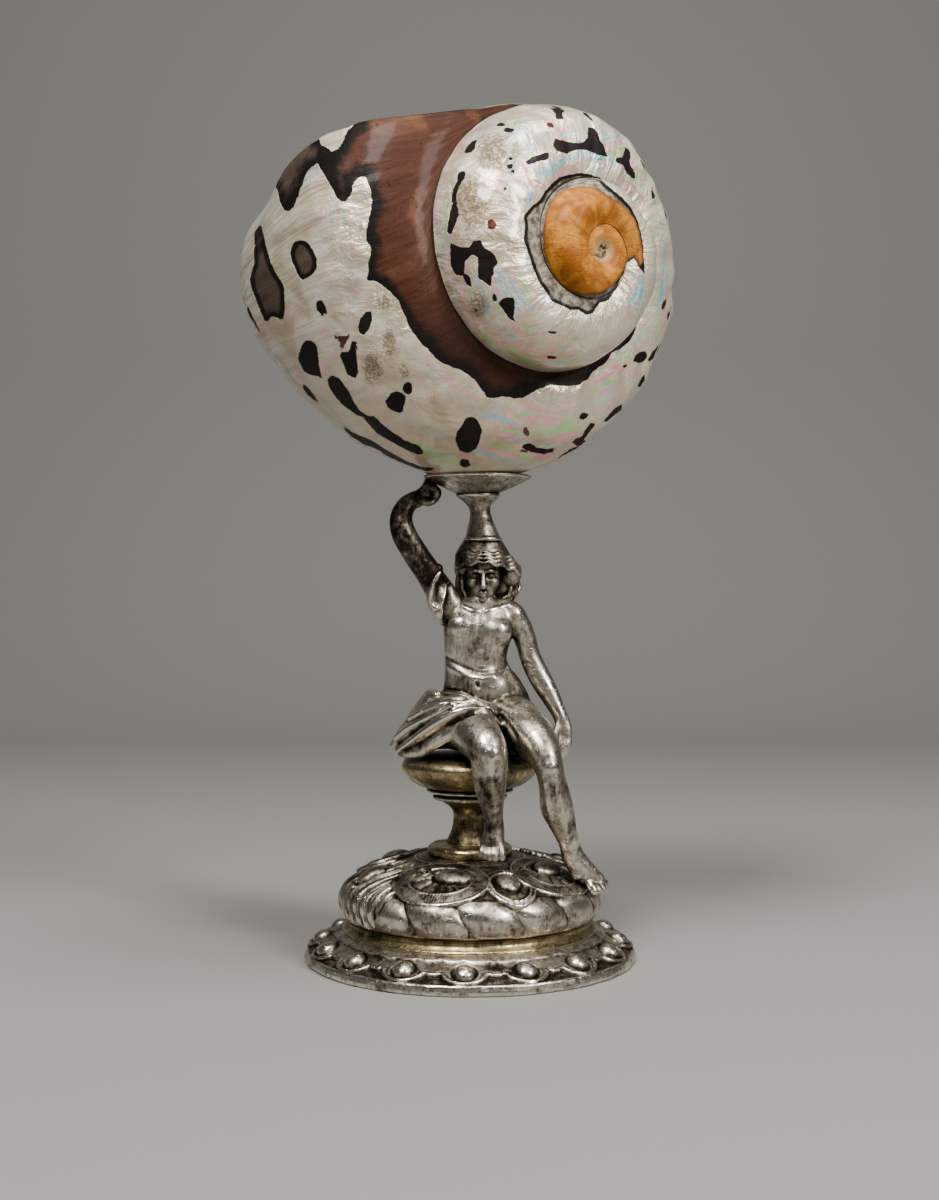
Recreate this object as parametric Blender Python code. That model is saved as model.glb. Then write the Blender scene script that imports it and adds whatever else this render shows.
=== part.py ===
# A polished turban shell, held up by a seated silver figure on a turned and chased foot.
# Metres, +Z up. The origin is the middle of the foot's underside, and the spire and the figure face -Y.
# Every number below is in millimetres until it is placed.

import math

import bmesh
import bpy
from mathutils import Vector

MM = 0.001
ROUND_SIDES = 24
FLANGE_SIDES = 48
DOME_SIDES = 64

# Turned pieces: (radius, height) from the bottom of each outline to its top.
FLANGE = ((39.0, 0.0), (39.4, 0.7), (39.1, 1.8), (36.8, 3.3), (33.2, 4.7), (29.8, 6.3))
FOOT_RING = ((29.2, 6.6), (29.6, 7.3), (28.9, 8.3), (29.3, 9.7))
DOME = ((29.4, 10.0), (30.3, 12.3), (30.4, 14.8), (29.5, 17.2), (26.8, 19.4), (22.6, 21.3), (17.0, 22.9),
        (11.2, 24.0))
STEM_COLLAR = ((9.6, 24.3), (10.0, 25.0), (10.0, 26.0), (9.2, 26.7))
STEM = ((5.6, 27.0), (5.0, 28.2), (4.2, 30.6), (3.9, 33.2), (4.6, 35.0), (6.9, 36.9))
LOWER_RING = ((7.6, 37.2), (8.7, 37.8), (8.7, 38.2), (8.2, 38.6))
UPPER_RING = ((9.4, 38.9), (10.1, 39.4), (9.8, 39.9))
SEAT_KNOP = ((10.2, 40.2), (13.4, 41.6), (15.6, 43.4), (16.2, 45.2), (15.4, 46.8), (13.2, 47.5))
NECK = ((4.4, 98.9), (4.5, 99.9), (3.6, 101.2), (2.7, 103.2), (2.5, 105.0), (2.9, 106.8), (4.4, 108.1), (5.2, 108.6),
        (5.0, 109.7))
NECK_FOOT_X, NECK_HEAD_X = 3.2, 1.9
DISH = ((5.1, 110.0), (7.4, 111.0), (12.2, 113.4), (12.6, 113.9), (12.1, 114.1), (8.0, 111.9), (3.0, 110.9))
DISH_X = 1.8

# Cast ornament of the foot.
FLANGE_BOSSES, FLANGE_BOSS_RADIUS, FLANGE_BOSS_RING, FLANGE_BOSS_Z = 16, 2.6, 35.0, 3.6
FIRST_BOSS_ANGLE = math.radians(-92)
LOBES, LOBE_DEPTH, LOBE_TOP, LOBE_SLANT = 16, 0.7, 17.6, 0.035
DOME_BOSSES = 8
DOME_BOSS_RING, DOME_BOSS_Z, DOME_BOSS_LONG, DOME_BOSS_WIDE, DOME_BOSS_HIGH = 22.0, 20.9, 4.6, 2.6, 1.9

# The shell's growth. Turns are counted back from the mouth, and lengths are from the apex.
APEX = Vector((27.5, -36.5, 160.3))
AXIS_TURN = math.radians(34.5)
AXIS_RISE = math.radians(-1.5)
MOUTH_ANGLE = math.radians(104.9)
SHRINK = (0.295, 0.201, -0.016)
TUBE_OUT, TUBE_DOWN, TUBE_RADIUS = 21.7, 67.8, 38.4
DOWN_POWER = 1.5
TUBE_ASPECT, TUBE_LEAN = 0.81, math.radians(22.7)
COLUMELLA = 3.0
APEX_TURNS = 2.9
BACK_SQUEEZE, BACK_SOFT = 0.42, 20.0
PUSHES = (((-53, -8, 155), 18, (-2.8, 0, 0)), ((-48, -12, 177), 11, (2.2, 0.6, -0.8)), ((28, -22, 193), 16, (1.0, 0, 1.2)),
          ((-2, 0, 114), 17, (0, 0, -1.9)), ((24, -12, 122), 13, (0.6, 0, -0.9)))

# The mouth: a point on each plane that trims the lip, and the plane's outward normal.
LIP_PLANES = (((13.6, -18.8, 198.2), (-0.275, 0.315, 0.909)), ((13.6, -18.8, 198.2), (-0.098, -0.278, 0.956)),
              ((-35.4, -28.6, 189.8), (-0.63, -0.26, 0.73)))
LIP_SOFT = 1.2
SEAM_LIP, PILLAR_LIP, LIP_LIMIT = -0.06, 0.22, 0.3
LIP_ROWS, INNER_LIP_ROWS = 12, 26
SHELL_WALL, CALLUS, PILLAR_WALL = 2.2, 1.2, 2.4
CHAMBER_FROM, CHAMBER_TO, CHAMBER_ROWS, CHAMBER_SIDES = -0.2, 0.42, 13, 7
ROWS_PER_TURN, SPIRE_COLUMNS, BASE_COLUMNS = 34, 7, 7

# The seated figure: (x, y, z, half width, half depth) along each limb, from its root to its tip.
TORSO = ((2.9, 2.5, 49.6, 12.6, 9.0), (2.9, 2.6, 54.0, 12.8, 9.0), (2.7, 2.4, 60.0, 11.4, 7.8), (2.0, 1.6, 65.5, 8.6, 6.2),
         (1.6, 0.8, 70.0, 7.3, 5.2), (2.0, 0.2, 74.5, 7.9, 5.5), (2.6, 0.4, 79.0, 8.6, 5.4), (2.8, 1.2, 82.5, 8.0, 4.2),
         (3.0, 1.4, 84.6, 4.4, 3.3))
THROAT = ((3.0, 1.4, 83.0, 3.0, 2.9), (3.1, 0.9, 86.0, 2.5, 2.5), (3.2, 0.6, 88.0, 2.7, 2.7))
HEAD = ((3.1, 0.2, 84.6, 1.6, 1.8), (3.1, 0.2, 86.4, 3.3, 3.8), (3.1, 0.4, 89.0, 4.2, 5.0), (3.1, 0.8, 92.0, 4.6, 5.6),
        (3.1, 1.2, 94.8, 4.4, 5.2))
HAIR = ((3.2, 3.6, 87.6, 6.2, 3.8), (3.2, 3.2, 91.0, 7.2, 5.0), (3.1, 1.8, 94.6, 6.9, 6.2), (3.2, 1.2, 96.8, 5.4, 5.2),
        (3.3, 1.0, 98.5, 4.4, 4.4))
HAIR_KNOT = ((8.4, 2.2, 93.6, 3.0, 4.0), (10.4, 2.4, 90.4, 3.0, 4.0), (9.8, 2.4, 86.6, 2.4, 3.2))
BREASTS = ((-0.9, -3.6, 76.6, 3.4), (6.0, -3.8, 76.3, 3.4))
RIGHT_ARM = ((-4.2, 1.0, 81.6, 3.4, 3.4), (-7.8, 0.2, 87.0, 3.5, 3.4), (-11.2, -1.2, 93.2, 3.0, 3.0),
             (-15.2, -2.6, 99.6, 3.0, 3.0), (-16.0, -1.8, 103.8, 2.9, 2.9), (-14.6, -0.6, 107.4, 2.2, 2.3),
             (-12.2, 0.0, 109.6, 1.7, 2.0))
RIGHT_HAND = ((-12.6, 0.0, 108.6, 1.7, 2.3), (-10.6, 0.2, 110.4, 2.0, 2.8), (-8.6, 0.2, 109.8, 1.4, 2.6))
LEFT_ARM = ((9.2, 1.6, 82.0, 3.3, 3.3), (12.2, 1.8, 79.4, 3.1, 3.1), (14.4, 2.0, 73.6, 2.7, 2.7),
            (16.4, 1.4, 68.6, 2.4, 2.4), (18.8, 0.2, 63.0, 2.4, 2.4), (21.2, -1.0, 57.4, 1.7, 1.7))
LEFT_HAND = ((21.2, -1.0, 57.4, 1.8, 1.6), (22.2, -1.6, 54.0, 2.4, 1.6), (22.4, -1.8, 50.6, 2.2, 1.5))
RIGHT_LEG = ((-3.0, -1.0, 56.0, 7.4, 6.2), (-1.4, -8.0, 55.6, 6.6, 5.8), (1.4, -14.6, 53.8, 5.6, 5.2),
             (3.6, -19.4, 51.6, 4.6, 4.7), (3.8, -20.0, 48.2, 4.3, 4.2), (4.2, -18.4, 43.4, 4.0, 4.1),
             (4.8, -16.6, 38.4, 3.0, 3.1), (5.2, -15.6, 34.0, 2.3, 2.5))
RIGHT_FOOT = ((5.2, -14.8, 34.4, 2.3, 2.8), (5.1, -15.6, 31.2, 2.5, 2.6), (4.9, -16.4, 28.4, 2.9, 1.7),
              (4.8, -16.6, 26.6, 2.8, 1.1))
LEFT_LEG = ((8.6, -1.0, 56.0, 7.2, 6.2), (12.2, -8.0, 54.6, 6.4, 5.8), (16.0, -14.0, 51.4, 5.4, 5.2),
            (18.8, -17.0, 47.4, 4.5, 4.6), (19.8, -16.8, 43.0, 4.2, 4.2), (21.2, -15.0, 37.2, 4.0, 4.1),
            (22.8, -12.8, 31.4, 2.9, 3.0), (24.2, -11.2, 27.2, 2.4, 2.6))
LEFT_FOOT = ((23.8, -10.4, 27.0, 2.5, 2.8), (26.2, -10.6, 24.0, 2.7, 2.6), (29.6, -10.4, 20.9, 2.9, 1.7),
             (32.0, -9.8, 18.9, 2.6, 1.1))
DRAPE_FRONT = ((5.6, -8.0, 61.6, 4.0, 3.0), (0.0, -9.0, 60.2, 6.2, 4.4), (-6.4, -8.2, 56.6, 6.6, 5.0),
               (-12.4, -5.4, 52.8, 5.4, 4.0), (-16.4, -3.0, 50.4, 3.0, 2.4))
DRAPE_SIDE = ((-8.2, 1.0, 61.4, 3.4, 6.0), (-11.4, 1.0, 56.0, 4.6, 8.0), (-13.6, 0.6, 51.2, 4.6, 8.6))
SLEEVE = ((-7.4, -1.6, 91.6, 1.4, 1.4), (-7.8, -1.8, 87.0, 2.4, 2.4), (-7.2, -1.6, 82.4, 2.4, 2.2),
          (-6.2, -1.2, 78.8, 1.2, 1.4))
FIGURE_GAP = 0.4
CROWN_LEVEL, CROWN_CUT = 98.6, 7.0
LIMB_SIDES = 12
FIGURE_GRAIN, FIGURE_SHARE = 0.9, 0.09


def surface(name, colour, metallic, roughness):
    """A plain Principled material."""
    made = bpy.data.materials.new(name)
    made.use_nodes = True
    shader = made.node_tree.nodes["Principled BSDF"]
    shader.inputs["Base Color"].default_value = (*colour, 1.0)
    shader.inputs["Metallic"].default_value = metallic
    shader.inputs["Roughness"].default_value = roughness
    return made


def add(name, shape, material, rounded=True):
    """One named object from a closed bmesh in millimetres."""
    bmesh.ops.scale(shape, vec=(MM, MM, MM), verts=shape.verts)
    bmesh.ops.recalc_face_normals(shape, faces=shape.faces)
    mesh = bpy.data.meshes.new(name)
    shape.to_mesh(mesh)
    shape.free()
    if rounded:
        mesh.shade_smooth()
        mesh.set_sharp_from_angle(angle=math.radians(40))
    mesh.materials.append(material)
    made = bpy.data.objects.new(name, mesh)
    bpy.context.collection.objects.link(made)
    return made


def turned(outline, sides=ROUND_SIDES, foot_x=0.0, head_x=None):
    """A closed turned body from its outline, whose axis may lean from one x at its foot to another at its head."""
    head_x = foot_x if head_x is None else head_x
    shape = bmesh.new()
    line = [shape.verts.new((radius, 0, height)) for radius, height in outline]
    edges = [shape.edges.new(pair) for pair in zip(line, line[1:])]
    bmesh.ops.spin(shape, geom=line + edges, cent=(0, 0, 0), axis=(0, 0, 1), angle=math.tau, steps=sides,
                   use_merge=True)
    bmesh.ops.holes_fill(shape, edges=[edge for edge in shape.edges if edge.is_boundary], sides=0)
    low, high = outline[0][1], outline[-1][1]
    for vert in shape.verts:
        vert.co.x += foot_x + (head_x - foot_x) * (vert.co.z - low) / (high - low)
    return shape


def blister(shape, centre, axes, lean):
    """A low round boss, sunk halfway, as its own closed body: axes are its half sizes, lean tips it outward."""
    made = bmesh.ops.create_uvsphere(shape, u_segments=8, v_segments=5, radius=1.0)["verts"]
    angle = math.atan2(centre[1], centre[0])
    out, along = Vector((math.cos(angle), math.sin(angle), 0)), Vector((-math.sin(angle), math.cos(angle), 0))
    normal = out * math.sin(lean) + Vector((0, 0, math.cos(lean)))
    across = along.cross(normal)
    for vert in made:
        local = vert.co.copy()
        vert.co = Vector(centre) + along * local.x * axes[0] + across * local.y * axes[1] + normal * local.z * axes[2]


def fused(base, extra_name, extra_shape, material):
    """Joins hidden bodies to a base object with a Boolean union."""
    extra = add(extra_name, extra_shape, material)
    extra.hide_render = True
    extra.display_type = "WIRE"
    union = base.modifiers.new("Fused ornament", "BOOLEAN")
    union.operation = "UNION"
    union.object = extra
    return base


def foot(silver, gilt):
    """The flange with its sixteen bosses, the plain gilt ring, and the lobed dome with its oval bosses."""
    flange = add("foot_flange", turned(FLANGE, FLANGE_SIDES), silver)
    bosses = bmesh.new()
    for count in range(FLANGE_BOSSES):
        angle = FIRST_BOSS_ANGLE + math.tau * count / FLANGE_BOSSES
        centre = (FLANGE_BOSS_RING * math.cos(angle), FLANGE_BOSS_RING * math.sin(angle), FLANGE_BOSS_Z)
        blister(bosses, centre, (FLANGE_BOSS_RADIUS, FLANGE_BOSS_RADIUS, 1.9), math.radians(22))
    fused(flange, "guide_flange_bosses", bosses, silver)
    add("foot_ring", turned(FOOT_RING), gilt)

    shape = turned(DOME, DOME_SIDES)
    for vert in shape.verts:
        radius, height = math.hypot(vert.co.x, vert.co.y), vert.co.z
        if DOME[0][1] < height < LOBE_TOP and radius > 1:
            angle = math.atan2(vert.co.y, vert.co.x) - LOBE_SLANT * (height - DOME[0][1])
            dip = LOBE_DEPTH * (0.5 + 0.5 * math.cos(LOBES * angle)) ** 2
            vert.co.x *= 1 - dip / radius
            vert.co.y *= 1 - dip / radius
    dome = add("foot_dome", shape, silver)
    ovals = bmesh.new()
    for count in range(DOME_BOSSES):
        angle = math.radians(-100) + math.tau * count / DOME_BOSSES
        centre = (DOME_BOSS_RING * math.cos(angle), DOME_BOSS_RING * math.sin(angle), DOME_BOSS_Z)
        blister(ovals, centre, (DOME_BOSS_LONG, DOME_BOSS_WIDE, DOME_BOSS_HIGH), math.radians(24))
    fused(dome, "guide_dome_bosses", ovals, silver)


def limb(shape, stations, sides=LIMB_SIDES):
    """One closed rounded body through elliptical stations: half width runs across x, half depth across y or z."""
    rings = []
    points = [Vector(station[:3]) for station in stations]
    for index, (x, y, z, wide, deep) in enumerate(stations):
        ahead, behind = points[min(index + 1, len(points) - 1)], points[max(index - 1, 0)]
        along = (ahead - behind).normalized()
        across = Vector((1, 0, 0)) - along * along.x
        if across.length < 0.3:
            across = Vector((0, 0, 1)) - along * along.z
        across.normalize()
        depth = along.cross(across)
        rings.append([shape.verts.new(Vector((x, y, z)) + across * wide * math.cos(turn) + depth * deep * math.sin(turn))
                      for turn in (math.tau * side / sides for side in range(sides))])
    for lower, upper in zip(rings, rings[1:]):
        for side in range(sides):
            following = (side + 1) % sides
            shape.faces.new((lower[side], lower[following], upper[following], upper[side]))
    for ring, end, inner in ((rings[0], stations[0], points[1]), (rings[-1], stations[-1], points[-2])):
        outward = (Vector(end[:3]) - inner).normalized() * min(end[3], end[4]) * 0.6
        tip = shape.verts.new(Vector(end[:3]) + outward)
        for side in range(sides):
            shape.faces.new((ring[side], ring[(side + 1) % sides], tip))


def figure(silver):
    """The cast figure as one body: its limbs, hair and drapery flow together."""
    shape = bmesh.new()
    for stations in (TORSO, THROAT, HEAD, HAIR, HAIR_KNOT, RIGHT_ARM, RIGHT_HAND, LEFT_ARM, LEFT_HAND, RIGHT_LEG,
                     RIGHT_FOOT, LEFT_LEG, LEFT_FOOT, DRAPE_FRONT, DRAPE_SIDE, SLEEVE):
        limb(shape, stations)
    for x, y, z, radius in BREASTS:
        made = bmesh.ops.create_icosphere(shape, subdivisions=2, radius=radius)["verts"]
        bmesh.ops.translate(shape, vec=(x, y, z), verts=made)
    bmesh.ops.recalc_face_normals(shape, faces=shape.faces)
    cast = add("figure", shape, silver)
    flow = cast.modifiers.new("Cast in one", "REMESH")
    flow.mode = "VOXEL"
    flow.voxel_size = FIGURE_GRAIN * MM
    soften = cast.modifiers.new("Worn", "SMOOTH")
    soften.factor, soften.iterations = 0.5, 2
    thin = cast.modifiers.new("Fewer facets", "DECIMATE")
    thin.ratio = FIGURE_SHARE
    middle_height = (SEAT_KNOP[0][1] + SEAT_KNOP[-1][1]) / 2
    around_knop = [(radius + FIGURE_GAP, height + math.copysign(FIGURE_GAP, height - middle_height))
                   for radius, height in SEAT_KNOP]
    crown = ((CROWN_CUT, CROWN_LEVEL), (CROWN_CUT, CROWN_LEVEL + CROWN_CUT))
    for name, outline, x in (("guide_seat", around_knop, 0.0), ("guide_crown", crown, NECK_FOOT_X)):
        guide = add(name, turned(outline, foot_x=x), silver)
        guide.hide_render = True
        guide.display_type = "WIRE"
        flat = cast.modifiers.new("Clear of its neighbour", "BOOLEAN")
        flat.operation = "DIFFERENCE"
        flat.object = guide


def growth(turn):
    """The tube's centre out from the axis, its centre down from the apex, and its radius at a turn."""
    size = math.exp(-sum(rate * turn ** (power + 1) for power, rate in enumerate(SHRINK)))
    return TUBE_OUT * size, TUBE_DOWN * size**DOWN_POWER, TUBE_RADIUS * size


def to_round(point):
    """The half-plane turned and stretched so that every tube section is a circle."""
    c, s = math.cos(TUBE_LEAN), math.sin(TUBE_LEAN)
    return (c * point[0] + s * point[1]) / TUBE_ASPECT, (c * point[1] - s * point[0]) * TUBE_ASPECT


def from_round(point):
    """The way back from to_round."""
    c, s = math.cos(TUBE_LEAN), math.sin(TUBE_LEAN)
    along, across = point[0] * TUBE_ASPECT, point[1] / TUBE_ASPECT
    return c * along - s * across, s * along + c * across


def section_point(turn, angle, inset=0.0):
    """(out, down) of the tube's outline at an angle on its circle."""
    out, down, radius = growth(turn)
    centre = to_round((out, down))
    return from_round((centre[0] + (radius - inset) * math.cos(angle), centre[1] + (radius - inset) * math.sin(angle)))


def seam_angles(turn, inset=0.0, outset=0.0):
    """The angles on this whorl's circle and on the one before it at which they meet, on the spire's side."""
    radius, smaller = growth(turn)[2] - inset, growth(turn + 1)[2] + outset
    first, second = Vector(to_round(growth(turn)[:2])), Vector(to_round(growth(turn + 1)[:2]))
    gap = second - first
    share = (radius**2 - smaller**2 + gap.length_squared) / (2 * gap.length)
    half = math.sqrt(max(radius**2 - share**2, 0.0))
    base, spread = math.atan2(gap.y, gap.x), math.atan2(half, share)
    best = min((base + spread, base - spread), key=lambda angle: section_point(turn, angle, inset)[1])
    meeting = first + radius * Vector((math.cos(best), math.sin(best)))
    there = meeting - second
    return best, math.atan2(there.y, there.x)


def pillar_angle(turn, reach, inset=0.0):
    """The angle on the whorl's circle at which its base side comes within a distance of the axis."""
    out, _, radius = growth(turn)
    c, s = math.cos(TUBE_LEAN), math.sin(TUBE_LEAN)
    stretch = math.hypot(TUBE_ASPECT * c, s / TUBE_ASPECT)
    lead = math.atan2(s / TUBE_ASPECT, TUBE_ASPECT * c)
    return math.acos(max(-1.0, min(1.0, (reach - out) / ((radius - inset) * stretch)))) - lead


def column_angle(turn, column):
    """The circle angle of a column: 0 at the seam, SPIRE_COLUMNS at the next seam, the last at the columella."""
    start = seam_angles(turn)[0]
    seam = seam_angles(turn - 1)[1]
    if column <= SPIRE_COLUMNS:
        return start + (seam - start) * column / SPIRE_COLUMNS
    return seam + (pillar_angle(turn, COLUMELLA) - seam) * (column - SPIRE_COLUMNS) / BASE_COLUMNS


def place(turn, point):
    """A half-plane point at a turn, in the part's frame, with the shell's back pressed in."""
    down_axis = Vector((-math.sin(AXIS_TURN), math.cos(AXIS_TURN), 0)) * math.cos(AXIS_RISE)
    down_axis.z = -math.sin(AXIS_RISE)
    right = Vector((0, 0, 1)).cross(-down_axis).normalized()
    over = (-down_axis).cross(right)
    angle = MOUTH_ANGLE + math.tau * turn
    there = APEX + point[0] * (math.cos(angle) * right + math.sin(angle) * over) + point[1] * down_axis
    if there.y > 0:
        there.y -= BACK_SQUEEZE * there.y**2 / (there.y + BACK_SOFT)
    moved = there.copy()
    for centre, width, push in PUSHES:
        moved += Vector(push) * math.exp(-(there - Vector(centre)).length_squared / width**2)
    return moved


def past_lip(point):
    """How far a point stands past the trimmed mouth, with the planes blended where they meet."""
    past = [(point - Vector(there)).dot(Vector(normal).normalized()) for there, normal in LIP_PLANES]
    most = max(past)
    return most + LIP_SOFT * math.log(sum(math.exp((value - most) / LIP_SOFT) for value in past))


def lip_turn(column):
    """The turn at which a column of the shell's surface meets the mouth, from the seam's own turn on."""
    low, high = SEAM_LIP, LIP_LIMIT
    for _ in range(24):
        middle = (low + high) / 2
        if past_lip(place(middle, section_point(middle, column_angle(middle, column)))) > 0:
            low = middle
        else:
            high = middle
    return (low + high) / 2


def shell_body():
    """The closed outer surface: a helical strip of columns, shut at the apex, the pillar and the mouth."""
    shape = bmesh.new()
    last = SPIRE_COLUMNS + BASE_COLUMNS
    lips = [SEAM_LIP] + [lip_turn(column) for column in range(1, last)] + [PILLAR_LIP]
    rows = int(round((APEX_TURNS - lips[0]) * ROWS_PER_TURN))
    grid = []
    for row in range(rows + 1):
        line = []
        for column in range((last if row <= ROWS_PER_TURN else SPIRE_COLUMNS) + 1):
            if column == SPIRE_COLUMNS and row >= ROWS_PER_TURN:
                line.append(grid[row - ROWS_PER_TURN][0])
                continue
            turn = lips[0] + row / ROWS_PER_TURN + (lips[column] - lips[0]) * max(0.0, 1 - row / LIP_ROWS)
            if SPIRE_COLUMNS < column:
                inner_lip = math.sin(math.pi / 2 * (column - SPIRE_COLUMNS) / BASE_COLUMNS) ** 2
                turn += (PILLAR_LIP - SEAM_LIP) * inner_lip * max(0.0, 1 - (ROWS_PER_TURN - row) / INNER_LIP_ROWS)
            line.append(shape.verts.new(place(turn, section_point(turn, column_angle(turn, column)))))
        grid.append(line)
    for first, second in zip(grid, grid[1:]):
        for column in range(min(len(first), len(second)) - 1):
            shape.faces.new((first[column], second[column], second[column + 1], first[column + 1]))
    tip = shape.verts.new(place(APEX_TURNS, (0.0, 0.0)))
    rim = [line[0] for line in grid[rows - ROWS_PER_TURN:]] + grid[rows][1:]
    for first, second in zip(rim, rim[1:]):
        shape.faces.new((first, second, tip))
    middle = lips[0] + 0.5
    pit = shape.verts.new(place(middle, (0.0, section_point(middle, pillar_angle(middle, COLUMELLA))[1])))
    for first, second in zip(grid[:ROWS_PER_TURN], grid[1:ROWS_PER_TURN + 1]):
        shape.faces.new((first[last], second[last], pit))
    mouth = [edge for edge in shape.edges if edge.is_boundary]
    bmesh.ops.triangle_fill(shape, edges=mouth, use_beauty=True)
    return shape


def chamber_ring(turn, shrink):
    """The chamber's closed section at a turn, drawn in towards its middle by a share."""
    own, other = seam_angles(turn, SHELL_WALL, CALLUS)
    own_end = pillar_angle(turn, COLUMELLA + PILLAR_WALL, SHELL_WALL)
    other_end = pillar_angle(turn + 1, COLUMELLA + PILLAR_WALL, -CALLUS)
    points = [section_point(turn, own + (own_end - own) * step / CHAMBER_SIDES, SHELL_WALL)
              for step in range(CHAMBER_SIDES + 1)]
    points += [section_point(turn + 1, other_end + (other - other_end) * step / CHAMBER_SIDES, -CALLUS)
               for step in range(CHAMBER_SIDES)]
    middle = (sum(point[0] for point in points) / len(points), sum(point[1] for point in points) / len(points))
    return [place(turn, (middle[0] + (point[0] - middle[0]) * (1 - shrink), middle[1] + (point[1] - middle[1])
                         * (1 - shrink))) for point in points]


def chamber():
    """The hollow of the last whorl, from beyond the mouth to where it closes inside."""
    shape = bmesh.new()
    rings = []
    for row in range(CHAMBER_ROWS + 1):
        share = row / CHAMBER_ROWS
        shrink = 1 - math.sqrt(1 - max(0.0, (share - 0.7) / 0.3) ** 2) if share < 1 else 0.9
        turn = CHAMBER_FROM + (CHAMBER_TO - CHAMBER_FROM) * share
        rings.append([shape.verts.new(point) for point in chamber_ring(turn, shrink)])
    for first, second in zip(rings, rings[1:]):
        for side in range(len(first)):
            following = (side + 1) % len(first)
            shape.faces.new((first[side], second[side], second[following], first[following]))
    shape.faces.new(rings[0])
    shape.faces.new(rings[-1])
    return shape


def shell(nacre):
    """The natural shell in one piece, with its hollow mouth."""
    whole = add("shell", shell_body(), nacre)
    hollow = add("guide_chamber", chamber(), nacre)
    hollow.hide_render = True
    hollow.display_type = "WIRE"
    cut = whole.modifiers.new("Hollow", "BOOLEAN")
    cut.operation = "DIFFERENCE"
    cut.object = hollow


def main():
    for old in list(bpy.data.objects):
        bpy.data.objects.remove(old)
    silver = surface("Aged silver", (0.52, 0.5, 0.47), 1.0, 0.32)
    gilt = surface("Worn gilding", (0.56, 0.47, 0.29), 1.0, 0.34)
    nacre = surface("Polished nacre", (0.66, 0.62, 0.55), 0.0, 0.22)
    foot(silver, gilt)
    add("stem_collar", turned(STEM_COLLAR), gilt)
    add("stem", turned(STEM), gilt)
    add("knop_lower_ring", turned(LOWER_RING), silver)
    add("knop_upper_ring", turned(UPPER_RING), silver)
    add("seat_knop", turned(SEAT_KNOP), gilt)
    figure(silver)
    add("neck", turned(NECK, foot_x=NECK_FOOT_X, head_x=NECK_HEAD_X), silver)
    add("dish", turned(DISH, foot_x=DISH_X), silver)
    shell(nacre)


main()
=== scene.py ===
# A polished turban shell carried by a seated silver figure on a turned stem and a chased foot.
# The builders below work in millimetres, and every finished mesh is scaled to metres once.

import math
import random
from functools import lru_cache

import bmesh
import bpy
import numpy as np
from mathutils import Matrix, Vector, noise
from mathutils.bvhtree import BVHTree


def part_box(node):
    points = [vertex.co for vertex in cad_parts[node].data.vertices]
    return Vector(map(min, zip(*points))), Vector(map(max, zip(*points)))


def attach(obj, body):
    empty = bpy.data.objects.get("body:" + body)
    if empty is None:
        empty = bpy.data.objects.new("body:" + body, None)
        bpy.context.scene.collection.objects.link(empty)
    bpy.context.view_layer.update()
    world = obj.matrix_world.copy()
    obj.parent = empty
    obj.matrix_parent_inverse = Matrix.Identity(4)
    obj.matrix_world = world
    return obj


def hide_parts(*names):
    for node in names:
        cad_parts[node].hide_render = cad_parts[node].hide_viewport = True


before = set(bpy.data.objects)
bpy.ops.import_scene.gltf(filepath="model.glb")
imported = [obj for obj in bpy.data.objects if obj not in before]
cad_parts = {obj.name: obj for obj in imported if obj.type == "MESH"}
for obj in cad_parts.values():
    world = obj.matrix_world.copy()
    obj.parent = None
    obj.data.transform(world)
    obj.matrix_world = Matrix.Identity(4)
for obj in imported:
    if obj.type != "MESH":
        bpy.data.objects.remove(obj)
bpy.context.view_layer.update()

mm = 0.001
view = {
    "eye": (0.0, -384.5, 89.8),  # level, looking along +Y
    "reach": 1615.0,  # photo pixels for each unit of slope
    "centre": (470.0, 578.0),  # the photo pixel straight ahead
    "width": 939,
    "height": 1200,
    "sensor": 36.0,
}


def photoPixels(points):
    # Where points in millimetres fall in the photograph's frame.
    depth = points[:, 1] - view["eye"][1]
    across = view["centre"][0] + view["reach"] * points[:, 0] / depth
    return np.stack([across, view["centre"][1] - view["reach"] * (points[:, 2] - view["eye"][2]) / depth], 1)


def smoothStep(values, low, high):
    share = np.clip((values - low) / (high - low), 0.0, 1.0)
    return share * share * (3 - 2 * share)


def wovenGrid(shape, rows, columns, place, uvLayer=None, uvPlace=None):
    # A grid whose every vertex goes to place(row, column), with its own UV where one is asked for.
    made = bmesh.ops.create_grid(shape, x_segments=rows, y_segments=columns, size=1.0)["verts"]
    cells = {vert: (round((vert.co.x + 1) / 2 * rows), round((vert.co.y + 1) / 2 * columns)) for vert in made}
    if uvLayer is not None:
        for face in {face for vert in made for face in vert.link_faces}:
            for loop in face.loops:
                loop[uvLayer].uv = uvPlace(*cells[loop.vert])
    for vert, cell in cells.items():
        vert.co = place(*cell)
    return made


def smoothLine(stations, steps):
    # A Catmull-Rom curve through stations of any length. A doubled station stays sharp.
    points = [np.array(station, float) for station in stations]
    line = []
    for index in range(len(points) - 1):
        first, second = points[index], points[index + 1]
        if np.allclose(first, second):
            continue
        before, after = points[max(index - 1, 0)], points[min(index + 2, len(points) - 1)]
        for step in range(steps):
            t = step / steps
            line.append(0.5 * (2 * first + (second - before) * t
                               + (2 * before - 5 * first + 4 * second - after) * t**2
                               + (3 * first - before - 3 * second + after) * t**3))
    return line + [points[-1]]


def vertexArray(mesh, key="co"):
    values = np.empty(len(mesh.vertices) * 3)
    if key == "co":
        mesh.vertices.foreach_get("co", values)
    else:
        mesh.vertex_normals.foreach_get("vector", values)
    return values.reshape(-1, 3)


def placeVertices(mesh, places):
    mesh.vertices.foreach_set("co", np.ascontiguousarray(places, float).ravel())
    mesh.update()


def surfaceOf(mesh):
    return vertexArray(mesh) / mm, vertexArray(mesh, "normal")


def liftSurface(mesh, places, normals, lift):
    # Moves each vertex out along its normal, in millimetres.
    placeVertices(mesh, (places + normals * lift[:, None]) * mm)


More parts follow.
